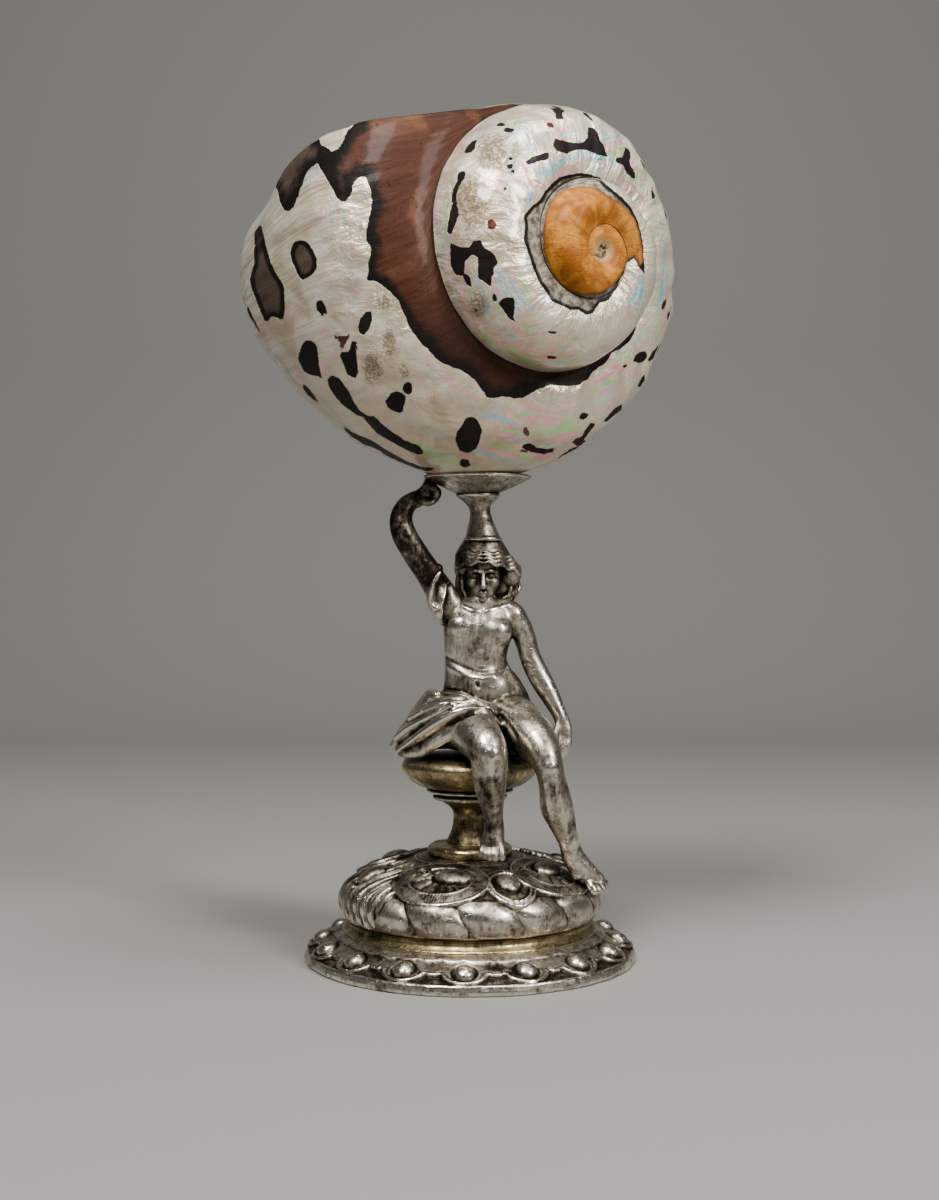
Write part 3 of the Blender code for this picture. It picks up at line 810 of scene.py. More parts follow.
marks = {
    "brownBand": ((530, 90), (356, 108), (356, 121), (346, 133), (342, 144), (334, 153), (328, 149),
                  (321, 145), (319, 139), (316, 133), (300, 124), (262, 172), (270, 186), (277, 190),
                  (280, 202), (284, 210), (288, 212), (293, 209), (296, 202), (300, 190), (304, 179),
                  (308, 170), (315, 164), (318, 163), (321, 170), (326, 178), (332, 189), (337, 198),
                  (342, 202), (347, 201), (352, 192), (352, 187), (354, 182), (360, 177), (366, 177),
                  (367, 182), (371, 190), (372, 200), (371, 211), (368, 222), (366, 232), (366, 240),
                  (371, 248), (371, 256), (368, 264), (368, 272), (367, 280), (374, 281), (380, 284),
                  (390, 292), (398, 300), (403, 313), (408, 324), (416, 336), (420, 342), (430, 352),
                  (438, 361), (449, 366), (461, 370), (473, 378), (480, 387), (488, 398), (495, 398),
                  (503, 396), (513, 398), (523, 398), (531, 393), (540, 388), (550, 385), (563, 386),
                  (577, 385), (587, 380), (592, 373), (600, 367), (608, 360), (612, 353), (620, 349),
                  (628, 343), (633, 335), (637, 325), (640, 310), (643, 300), (645, 280), (647, 270),
                  (625, 270), (560, 320), (480, 290), (455, 240), (455, 190), (490, 130), (530, 118)),
    "dirtyRing": ((645, 275), (644, 257), (642, 237), (638, 221), (631, 207), (620, 196), (609, 187),
                  (600, 178), (589, 174), (579, 173), (569, 175), (560, 177), (553, 183), (544, 192),
                  (539, 201), (530, 208), (524, 216), (525, 228), (524, 239), (528, 253), (533, 268),
                  (539, 282), (547, 293), (551, 301), (560, 305), (570, 310), (578, 310), (587, 315),
                  (593, 312), (600, 303), (608, 300), (617, 288), (620, 280), (624, 273), (626, 264),
                  (634, 258), (640, 268)),
    "orangeHeart": ((580, 186), (593, 187), (609, 196), (623, 205), (634, 217), (640, 232), (644, 261),
                    (640, 266), (634, 256), (628, 260), (622, 275), (613, 286), (602, 293), (587, 296),
                    (573, 293), (559, 284), (550, 270), (544, 253), (543, 239), (544, 221), (548, 207),
                    (555, 196), (564, 189)),
}
brownSpots = (
    ((257, 225), (261, 225), (263, 232), (266, 246), (270, 261), (275, 272), (281, 281), (284, 288),
     (285, 308), (283, 322), (278, 318), (272, 316), (269, 318), (269, 328), (264, 320), (256, 300),
     (251, 288), (250, 278), (254, 264), (254, 234)),
    ((300, 240), (307, 242), (313, 250), (317, 260), (316, 270), (310, 277), (302, 280), (298, 276),
     (292, 261), (290, 253), (294, 242)),
)
redSpots = (
    ((334, 332), (338, 331), (340, 336), (347, 336), (355, 326), (348, 339), (344, 347), (340, 355),
     (340, 342), (335, 339)),
    ((546, 123), (551, 122), (554, 126), (552, 129), (547, 126)),
    ((487, 221), (492, 219), (497, 224), (495, 229), (488, 229)),
    ((503, 186), (507, 186), (508, 189), (504, 191)),
    ((355, 340), (357, 341), (358, 352), (356, 350)),
    ((524, 424), (530, 432), (528, 437), (523, 434)),
    ((518, 452), (524, 448), (530, 453)),
)
darkSpots = (
    ((317, 301), (322, 300), (326, 308), (328, 316), (323, 317), (317, 310), (316, 304)),
    ((304, 341), (310, 340), (316, 344), (318, 353), (319, 366), (323, 379), (318, 376), (311, 375),
     (304, 372), (300, 364), (298, 360), (300, 350)),
    ((327, 378), (332, 375), (339, 378), (348, 390), (355, 404), (361, 412), (369, 416), (374, 416),
     (382, 424), (392, 432), (406, 441), (419, 446), (425, 453), (419, 455), (404, 449), (390, 441),
     (379, 435), (371, 427), (363, 417), (356, 415), (342, 404), (334, 395), (328, 385)),
    ((352, 341), (356, 342), (356, 353), (358, 369), (358, 376), (354, 379), (348, 375), (344, 366),
     (340, 356), (340, 352), (349, 352)),
    ((366, 312), (371, 311), (372, 320), (369, 329), (364, 335), (359, 333), (358, 328), (360, 319)),
    ((404, 384), (408, 381), (412, 384), (412, 392), (409, 395), (405, 393), (402, 389)),
    ((391, 393), (396, 391), (400, 392), (406, 396), (404, 406), (402, 413), (398, 413), (390, 409),
     (384, 403), (388, 398)),
    ((292, 373), (300, 383), (307, 386), (316, 398), (326, 412), (318, 404), (308, 395), (299, 384)),
    ((339, 421), (352, 432), (371, 440), (390, 452), (406, 461), (422, 467), (440, 468), (428, 472),
     (414, 468), (390, 458), (366, 446), (348, 434)),
    ((238, 278), (243, 288), (247, 304), (255, 321), (261, 334), (252, 326), (242, 306), (237, 290)),
    ((470, 417), (476, 418), (480, 425), (482, 431), (480, 440), (476, 449), (468, 453), (460, 451),
     (455, 440), (457, 432), (462, 425), (466, 418)),
    ((458, 464), (462, 459), (468, 460), (471, 465), (465, 468)),
    ((523, 444), (531, 443), (537, 448), (547, 449), (556, 448), (553, 452), (545, 454), (533, 453),
     (522, 448)),
    ((584, 412), (589, 414), (587, 418), (582, 420), (579, 418), (581, 414)),
    ((591, 423), (596, 423), (593, 428), (588, 434), (584, 440), (588, 442), (578, 447), (572, 442),
     (576, 438), (582, 437), (586, 428)),
    ((583, 445), (568, 454), (553, 463), (560, 456), (572, 448)),
    ((622, 404), (622, 410), (615, 415), (607, 422), (603, 422), (607, 417), (615, 408)),
    ((640, 352), (646, 351), (647, 356), (644, 362), (639, 363), (633, 361), (635, 356)),
    ((625, 364), (628, 365), (625, 368), (622, 367)),
    ((661, 343), (660, 348), (655, 357), (649, 363), (648, 360), (652, 352)),
    ((645, 373), (645, 380), (641, 387), (637, 387), (640, 380)),
    ((667, 297), (666, 305), (663, 310), (661, 310), (662, 304)),
    ((672, 306), (669, 318), (667, 322), (668, 313)),
    ((543, 105), (553, 104), (562, 108), (565, 112), (562, 113), (564, 120), (556, 119), (555, 113),
     (550, 108)),
    ((577, 108), (586, 112), (600, 128), (593, 122), (584, 115)),
    ((588, 127), (593, 128), (598, 133), (600, 140), (604, 146), (608, 157), (598, 155), (586, 150),
     (575, 150), (567, 154), (557, 151), (553, 146), (555, 138), (564, 141), (573, 143), (582, 143),
     (588, 138)),
    ((495, 125), (501, 122), (506, 125), (501, 127)),
    ((503, 129), (508, 127), (515, 129), (512, 133), (504, 132)),
    ((463, 153), (468, 145), (472, 141), (477, 140), (474, 151), (467, 154)),
    ((525, 162), (532, 157), (546, 153), (549, 153), (549, 159), (537, 162), (528, 165)),
    ((508, 157), (513, 157), (512, 161), (508, 160)),
    ((506, 164), (513, 164), (512, 169), (508, 169)),
    ((510, 171), (515, 169), (514, 175)),
    ((458, 172), (465, 171), (465, 178), (460, 185), (456, 196), (457, 203), (451, 203), (452, 192),
     (457, 181)),
    ((452, 204), (458, 207), (459, 214), (455, 225), (451, 235), (447, 233), (449, 217)),
    ((451, 243), (459, 247), (469, 248), (474, 241), (480, 240), (484, 248), (492, 252), (498, 261),
     (497, 265), (493, 269), (494, 275), (491, 277), (492, 290), (487, 284), (482, 280), (478, 279),
     (478, 257), (472, 255), (465, 261), (464, 273), (470, 277), (472, 289), (466, 284), (463, 276),
     (455, 275), (451, 266), (450, 253)),
    ((492, 297), (494, 293), (497, 297), (497, 302), (493, 301)),
    ((498, 304), (502, 299), (507, 297), (514, 298), (515, 308), (513, 318), (519, 324), (510, 320),
     (505, 313), (502, 308)),
    ((474, 309), (477, 308), (478, 312), (475, 312)),
    ((548, 331), (556, 331), (556, 334), (549, 334)),
    ((547, 356), (557, 356), (556, 359), (548, 359)),
    ((626, 146), (631, 153), (630, 163), (635, 174), (635, 180), (627, 174), (623, 165), (616, 163),
     (616, 158), (622, 158)),
    ((652, 187), (655, 196), (655, 199), (652, 199), (651, 193)),
    ((640, 159), (645, 165), (649, 174), (643, 167)),
    ((661, 198), (665, 207), (668, 221), (667, 223), (664, 210)),
    ((628, 252), (631, 253), (630, 256), (627, 255)),
    ((594, 240), (598, 237), (602, 240), (600, 244), (596, 244)),
    ((600, 245), (606, 242), (611, 246), (609, 252), (603, 252)),
    ((597, 250), (601, 252), (600, 256), (596, 255)),
    ((606, 256), (611, 257), (609, 261), (605, 260)),
    ((599, 260), (602, 261), (600, 264)),
)
# (photo place, half width, half height) of the pitted, unpolished places
roughPlaces = (((385, 300), 14, 18), ((390, 345), 12, 24), ((372, 368), 13, 24), ((405, 372), 8, 12),
               ((470, 205), 26, 42), ((478, 305), 14, 20), ((495, 150), 34, 26))

photoScale = 4.2  # photo pixels to a millimetre on the shell
edgeFacing = 0.16  # past this lean from the camera the drawn marks close
farOutside = -4.0  # a mark's value, in millimetres, where it isn't wanted


def insideBy(points, outline):
    # Signed distance in millimetres from each photo point to an outline, positive inside it.
    corners = np.array(outline, float)
    low, high = corners.min(0) - 16, corners.max(0) + 16
    near = np.flatnonzero(((points > low) & (points < high)).all(1))
    distance = np.full(len(points), -16.0)
    if len(near):
        here = points[near][:, None, :]
        start, way = corners, np.roll(corners, -1, 0) - corners
        share = np.clip(((here - start) * way).sum(2) / (way * way).sum(1), 0, 1)
        reach = np.linalg.norm(here - start - share[..., None] * way, axis=2).min(1)
        crosses = (start[:, 1] > here[..., 1]) != ((start + way)[:, 1] > here[..., 1])
        level = np.where(way[:, 1] == 0, 1e-9, way[:, 1])
        left = here[..., 0] < start[:, 0] + way[:, 0] * (here[..., 1] - start[:, 1]) / level
        within = (crosses & left).sum(1) % 2 == 1
        distance[near] = np.where(within, reach, -reach)
    return distance / photoScale


def growthOf(mesh):
    # Each vertex's turn and share across the whorl. On a seam they are those of the younger whorl.
    corners = np.empty(len(mesh.loops), np.int32)
    mesh.loops.foreach_get("vertex_index", corners)
    stored = np.empty(len(mesh.loops) * 2)
    mesh.uv_layers["growth"].data.foreach_get("uv", stored)
    found = np.full((len(mesh.vertices), 2), 9.0)
    np.minimum.at(found, corners, stored.reshape(-1, 2))
    return found.T


def shapeShell(mesh):
    # Growth swellings and ripples that the polish left, laid over the even spiral.
    places, normals = surfaceOf(mesh)
    turn, share = growthOf(mesh)
    aside = Vector((9, 4, 2))  # so that the dimples don't follow the lumps
    lift = np.array([noise.noise(Vector(place) / shell["lumpSize"]) * shell["lumpHeight"]
                     + noise.noise(Vector(place) / shell["dimpleSize"] + aside) * shell["dimpleHeight"]
                     for place in places])
    ripple = np.array([noise.noise(Vector((along * shell["ripplesPerTurn"], across * 4.0 + along * 6, 5.0)))
                       for along, across in zip(turn, share)])
    fading = smoothStep(share, 0.02, 0.12) * smoothStep(1.9 - share, 0.0, 0.3)
    ripple *= fading * smoothStep(1.6 - turn, 0.0, 0.5)
    band = insideBy(photoPixels(places), marks["brownBand"]) * (turn < lips[0] + 1) * (places[:, 1] < 0)
    lift = (lift + shell["rippleHeight"] * ripple) * smoothStep(band, 1.5, -1.0)
    lift += shell["rippleUnderBrown"] * ripple * smoothStep(band, -1.0, 1.5)
    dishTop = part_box("dish")[1]
    near = np.linalg.norm(places - np.array([dishTop.x / mm - 12.6, 0, dishTop.z / mm]), axis=1)
    inwards = np.linalg.norm(places - np.array(shell["mouthCentre"]), axis=1)
    lift *= smoothStep(near, 15, 24) * smoothStep(inwards, 20, 30)
    liftSurface(mesh, places, normals, lift)


def farBehind(mesh, depth):
    # The vertices this many millimetres or more behind what the camera sees in their direction.
    tree = rayTree(mesh)
    eye = Vector(view["eye"]) * mm
    behind = np.zeros(len(mesh.vertices), bool)
    for index, vert in enumerate(mesh.vertices):
        sight = vert.co - eye
        seen = tree.ray_cast(eye, sight.normalized())[3]
        behind[index] = seen is not None and sight.length - seen > depth * mm
    return behind


def markShell(mesh):
    places, normals = surfaceOf(mesh)
    towards = np.array(view["eye"]) - places
    facing = (normals * towards).sum(1) / np.linalg.norm(towards, axis=1)
    pixels = photoPixels(places)
    closing = np.maximum(0.0, edgeFacing - facing) * 14
    turn, share = growthOf(mesh)
    inner = (share > 3) & (turn * shell["chamberRows"] > shell["lipSteps"])
    hidden = (facing < -0.35) | farBehind(mesh, shell["markDepth"])
    onLip = turn * shell["chamberRows"] < shell["lipSteps"] / 2
    lastWhorl = np.where(share < 3, turn < lips[0] + 1 - 0.002, onLip)
    # where the whorl dives to the seam, it isn't the outline that turns away
    bySeam = smoothStep(share, 0.3, 0.12)
    for name in ("brownBand", "dirtyRing", "orangeHeart"):
        inside = insideBy(pixels, marks[name]) - closing * (1 - bySeam)
        if name == "brownBand":
            inside = np.where(lastWhorl, inside, farOutside)
        setMask(mesh, name, np.where(inner | hidden & (bySeam < 0.5), farOutside, inside))
    setMask(mesh, "nub", shell["nubRadius"] - np.linalg.norm(places - np.array(shell["apex"]), axis=1))
    for name, outlines in (("brownSpot", brownSpots), ("redSpot", redSpots), ("darkSpot", darkSpots)):
        inside = np.max([insideBy(pixels, outline) for outline in outlines], axis=0) - closing
        inside = np.where(hidden, farOutside, inside)
        if name == "darkSpot":
            inside = np.maximum(inside, hiddenSpots(places, normals, facing))
        setMask(mesh, name, np.where(inner, farOutside, inside))
    rough = np.max([1 - np.hypot((pixels[:, 0] - place[0]) / wide, (pixels[:, 1] - place[1]) / high)
                    for place, wide, high in roughPlaces], axis=0)
    setMask(mesh, "pitted", np.where(facing > 0, rough, -1.0))
    # This sky occlusion paints shade into the shell's colour.
    setMask(mesh, "sheltered", shelter(mesh, "shell", shell["skyReach"], shell["skyDirections"]))


def hiddenSpots(places, normals, facing):
    # Spots of the same kinds on the base and back, which the photograph doesn't show.
    dice = random.Random(shell["backSeed"])
    spots = np.full(len(places), farOutside)
    fromMouth = np.linalg.norm(places - np.array(shell["mouthCentre"]), axis=1)
    candidates = np.flatnonzero((facing < -0.08) & (fromMouth > 26))
    for _ in range(shell["backSpots"]):
        centre = candidates[dice.randrange(len(candidates))]
        here, up = places[centre], normals[centre]
        along = np.cross(up, np.array(downAxis))
        along /= max(np.linalg.norm(along), 1e-6)
        across = np.cross(up, along)
        lean = dice.uniform(-0.7, 0.7)
        c, s = math.cos(lean), math.sin(lean)
        along, across = along * c + across * s, across * c - along * s
        long, wide = dice.choice(shell["backSpotKinds"])
        gap = places - here
        reach = np.hypot(gap @ along / long, gap @ across / wide)
        apart = np.abs(gap @ up) > 5
        spots = np.maximum(spots, np.where(apart, farOutside, (1 - reach) * min(long, wide)))
    return spots - np.maximum(0.0, facing + 0.02) * 30


def nacreMaterial():
    # Polished mother of pearl under what is left of the dark outer layer and the amber spire.
    material = bpy.data.materials.new("polishedNacre")
    material.use_nodes = True
    tree = material.node_tree
    shader = tree.nodes["Principled BSDF"]
    places = placesOf(tree)
    growthMap = tree.nodes.new("ShaderNodeUVMap")
    growthMap.uv_map = "growth"
    streak = noiseOf(tree, stretched(tree, growthMap.outputs[0], (130.0, 2.5, 1.0)), 1.0, 4.0, 0.5, 0.3)
    acrossWhorl = splitOf(tree, growthMap.outputs[0])[1]

    # Mother of pearl: warm ivory and beige, with bands of pink, green and sky blue that follow the growth.
    right, _, up = splitOf(tree, places)
    warm = rangeOf(tree, cloudOf(tree, places, 12.0, 5.0, 0.62, 0.6), 0.40, 0.64)
    pearl = blendOf(tree, warm, (0.98, 0.89, 0.75), (0.72, 0.58, 0.41))
    silk = noiseOf(tree, stretched(tree, growthMap.outputs[0], (46.0, 4.0, 1.0)), 1.0, 3.0, 0.55, 0.8)
    silky = rangeOf(tree, silk, 0.42, 0.7)
    pearl = blendOf(tree, times(tree, silky, 0.42), pearl, (0.46, 0.36, 0.25))
    hue = noiseOf(tree, stretched(tree, growthMap.outputs[0], (9.0, 9.0, 1.0)), 1.0, 1.5, 0.45, 0.5)
    patchy = rangeOf(tree, cloudOf(tree, places, 15.0, 2.0, 0.5), 0.42, 0.6, 0.25, 1.0)
    pearl = blendOf(tree, rangeOf(tree, right, 0.014, 0.040, 0.0, 0.65), pearl, (0.97, 0.98, 0.70))
    # Painted shade: the nacre turns darker beige towards the bottom of the shell.
    pearl = blendOf(tree, rangeOf(tree, up, 0.150, 0.116, 0.0, 0.55), pearl, (0.60, 0.44, 0.28))
    shimmer = times(tree, rangeOf(tree, right, -0.020, 0.026, 0.35, 0.85), patchy)
    tints = ((0.34, 0.45, (0.98, 0.40, 0.47)), (0.45, 0.52, (0.36, 0.84, 0.28)),
             (0.52, 0.60, (0.98, 0.44, 0.54)), (0.60, 0.70, (0.22, 0.68, 0.86)))
    for low, high, tint in tints:
        rise = (high - low) * 0.42
        share = times(tree, rangeOf(tree, hue, low, low + rise), rangeOf(tree, hue, high, high - rise))
        pearl = blendOf(tree, times(tree, share, shimmer), pearl, tint)
    pitted = plus(tree, maskOf(tree, "pitted"), cloudOf(tree, places, 2.5, 5.0, 0.7))
    pitted = rangeOf(tree, pitted, 0.55, 1.25)
    pitGrain = cloudOf(tree, places, 0.8, 5.0, 0.75)
    scar = times(tree, pitted, rangeOf(tree, pitGrain, 0.46, 0.60))
    pearl = blendOf(tree, times(tree, pitted, 0.7), pearl, (0.56, 0.43, 0.26))
    pearl = blendOf(tree, times(tree, scar, 0.5), pearl, (0.24, 0.15, 0.07))

    # The outer layer: reddish brown with faint growth lines, umber by the lip and black where it thins out.
    wander = times(tree, minus(tree, cloudOf(tree, places, 1.7, 3.0, 0.6), 0.5), 0.9)
    band = plus(tree, maskOf(tree, "brownBand"), wander)
    brown = blendOf(tree, rangeOf(tree, streak, 0.30, 0.72), (0.052, 0.018, 0.010), (0.078, 0.027, 0.015))
    tan = rangeOf(tree, cloudOf(tree, places, 18.0, 5.0, 0.62, 0.6), 0.48, 0.64)
    brown = blendOf(tree, times(tree, tan, 0.55), brown, (0.19, 0.078, 0.038))
    umberShare = rangeOf(tree, right, -0.0245, -0.0295, 0.0, 0.85)
    brown = blendOf(tree, umberShare, brown, (0.078, 0.055, 0.045))
    brown = blendOf(tree, rangeOf(tree, up, 0.158, 0.134, 0.0, 0.75), brown, (0.020, 0.009, 0.006))
    brown = blendOf(tree, rangeOf(tree, cloudOf(tree, places, 1.2, 2.0, 0.4), 0.68, 0.74), brown,
                    (0.02, 0.011, 0.008))
    edging = times(tree, minus(tree, cloudOf(tree, places, 7.0, 3.0, 0.6), 0.5), -7.0)
    black = (0.009, 0.007, 0.006)
    brown = blendOf(tree, rangeOf(tree, plus(tree, band, edging), 4.0, 1.3), brown, black)
    colour = blendOf(tree, rangeOf(tree, band, -0.08, 0.08), pearl, brown)

    # Spots.
    nearEdge = times(tree, minus(tree, cloudOf(tree, places, 1.1, 2.0, 0.5), 0.5), 0.5)
    dark = plus(tree, maskOf(tree, "darkSpot"), nearEdge)
    colour = blendOf(tree, rangeOf(tree, dark, -0.1, 0.1), colour, (0.013, 0.010, 0.009))
    umber = plus(tree, maskOf(tree, "brownSpot"), nearEdge)
    umberFill = blendOf(tree, rangeOf(tree, umber, 0.7, 1.5), black, (0.075, 0.052, 0.040))
    colour = blendOf(tree, rangeOf(tree, umber, -0.1, 0.1), colour, umberFill)
    red = plus(tree, maskOf(tree, "redSpot"), nearEdge)
    colour = blendOf(tree, rangeOf(tree, red, -0.1, 0.12), colour, (0.085, 0.018, 0.012))

    # The spire: amber, in a dirty grey ring with a black line round it, a pale specked nub and dark seams.
    dirty = plus(tree, maskOf(tree, "dirtyRing"), times(tree, wander, 0.8))
    grime = blendOf(tree, rangeOf(tree, cloudOf(tree, places, 2.0, 4.0, 0.65), 0.38, 0.62),
                    (0.09, 0.075, 0.055), (0.34, 0.30, 0.23))
    grime = blendOf(tree, rangeOf(tree, dirty, 1.1, 0.6), grime, black)
    colour = blendOf(tree, rangeOf(tree, dirty, -0.1, 0.1), colour, grime)
    amberEdge = plus(tree, maskOf(tree, "orangeHeart"), times(tree, wander, 0.5))
    amber = blendOf(tree, rangeOf(tree, cloudOf(tree, places, 5.0, 5.0, 0.62, 0.8), 0.38, 0.62),
                    (0.33, 0.105, 0.014), (0.60, 0.245, 0.036))
    brushed = noiseOf(tree, stretched(tree, growthMap.outputs[0], (5.0, 90.0, 1.0)), 1.0, 3.0, 0.55, 0.4)
    amber = blendOf(tree, times(tree, rangeOf(tree, brushed, 0.5, 0.7), 0.5), amber, (0.22, 0.06, 0.012))
    amber = blendOf(tree, rangeOf(tree, amberEdge, 0.9, -0.1), amber, (0.15, 0.055, 0.018))
    nub = maskOf(tree, "nub")
    specks = times(tree, rangeOf(tree, cloudOf(tree, places, 0.75, 1.0, 0.4), 0.49, 0.54),
                   rangeOf(tree, nub, -0.2, 0.9))
    amber = blendOf(tree, rangeOf(tree, nub, -1.6, 0.3, 0.0, 0.85), amber, (0.56, 0.42, 0.22))
    amber = blendOf(tree, specks, amber, (0.03, 0.018, 0.012))
    colour = blendOf(tree, rangeOf(tree, amberEdge, -0.25, 0.25), colour, amber)
    # Painted shade: darker where the shell and the parts beside it close off the sky.
    hollowShade = rangeOf(tree, maskOf(tree, "sheltered"), 0.25, 0.75, 0.0, 0.35)
    colour = blendOf(tree, hollowShade, colour, (0.10, 0.07, 0.045))
    seam = times(tree, rangeOf(tree, acrossWhorl, 0.017, 0.009), rangeOf(tree, nub, 1.2, -0.6))
    colour = blendOf(tree, seam, colour, (0.022, 0.014, 0.010))
    plug(tree, shader.inputs["Base Color"], colour)

    layered = mathOf(tree, "MAXIMUM", mathOf(tree, "MAXIMUM", band, dark),
                     mathOf(tree, "MAXIMUM", umber, dirty))
    layered = rangeOf(tree, layered, -0.1, 0.1)
    plug(tree, shader.inputs["Metallic"], rangeOf(tree, mathOf(tree, "MAXIMUM", layered, pitted), 0.0, 1.0,
                                                  0.5, 0.0))
    horn = rangeOf(tree, amberEdge, -0.25, 0.25)
    rough = plus(tree, rangeOf(tree, layered, 0.0, 1.0, 0.38, 0.5), times(tree, horn, 0.1))
    plug(tree, shader.inputs["Roughness"], plus(tree, rough, times(tree, pitted, 0.22)))
    shader.inputs["IOR"].default_value = 1.45
    shader.inputs["Specular IOR Level"].default_value = 0.1
    coat = mathOf(tree, "MINIMUM", rangeOf(tree, layered, 0.0, 1.0, 1.0, 0.05),
                  rangeOf(tree, horn, 0.0, 1.0, 1.0, 0.2))
    plug(tree, shader.inputs["Coat Weight"], coat)
    shader.inputs["Coat Roughness"].default_value = 0.12
    touched = placeGroup(tree, handling, Ripple=0.5)
    height = plus(tree, touched["Height"], times(tree, streak, 0.35))
    height = plus(tree, height, times(tree, silk, rangeOf(tree, layered, 0.0, 1.0, 3.2, 0.8)))
    height = minus(tree, height, times(tree, scar, 1.6))
    height = plus(tree, height, times(tree, layered, 0.2))
    raised = tree.nodes.new("ShaderNodeBump")
    raised.inputs["Distance"].default_value = 0.00028
    raised.inputs["Strength"].default_value = 1.0
    plug(tree, raised.inputs["Height"], height)
    plug(tree, shader.inputs["Normal"], raised.outputs[0])
    return material


shapeShell(shellMesh)
markShell(shellMesh)
addPiece("polishedShell", shellMesh, nacreMaterial(), "shell")
print("The shell is marked and polished")

# The figure: limbs cast in one, with a finer head

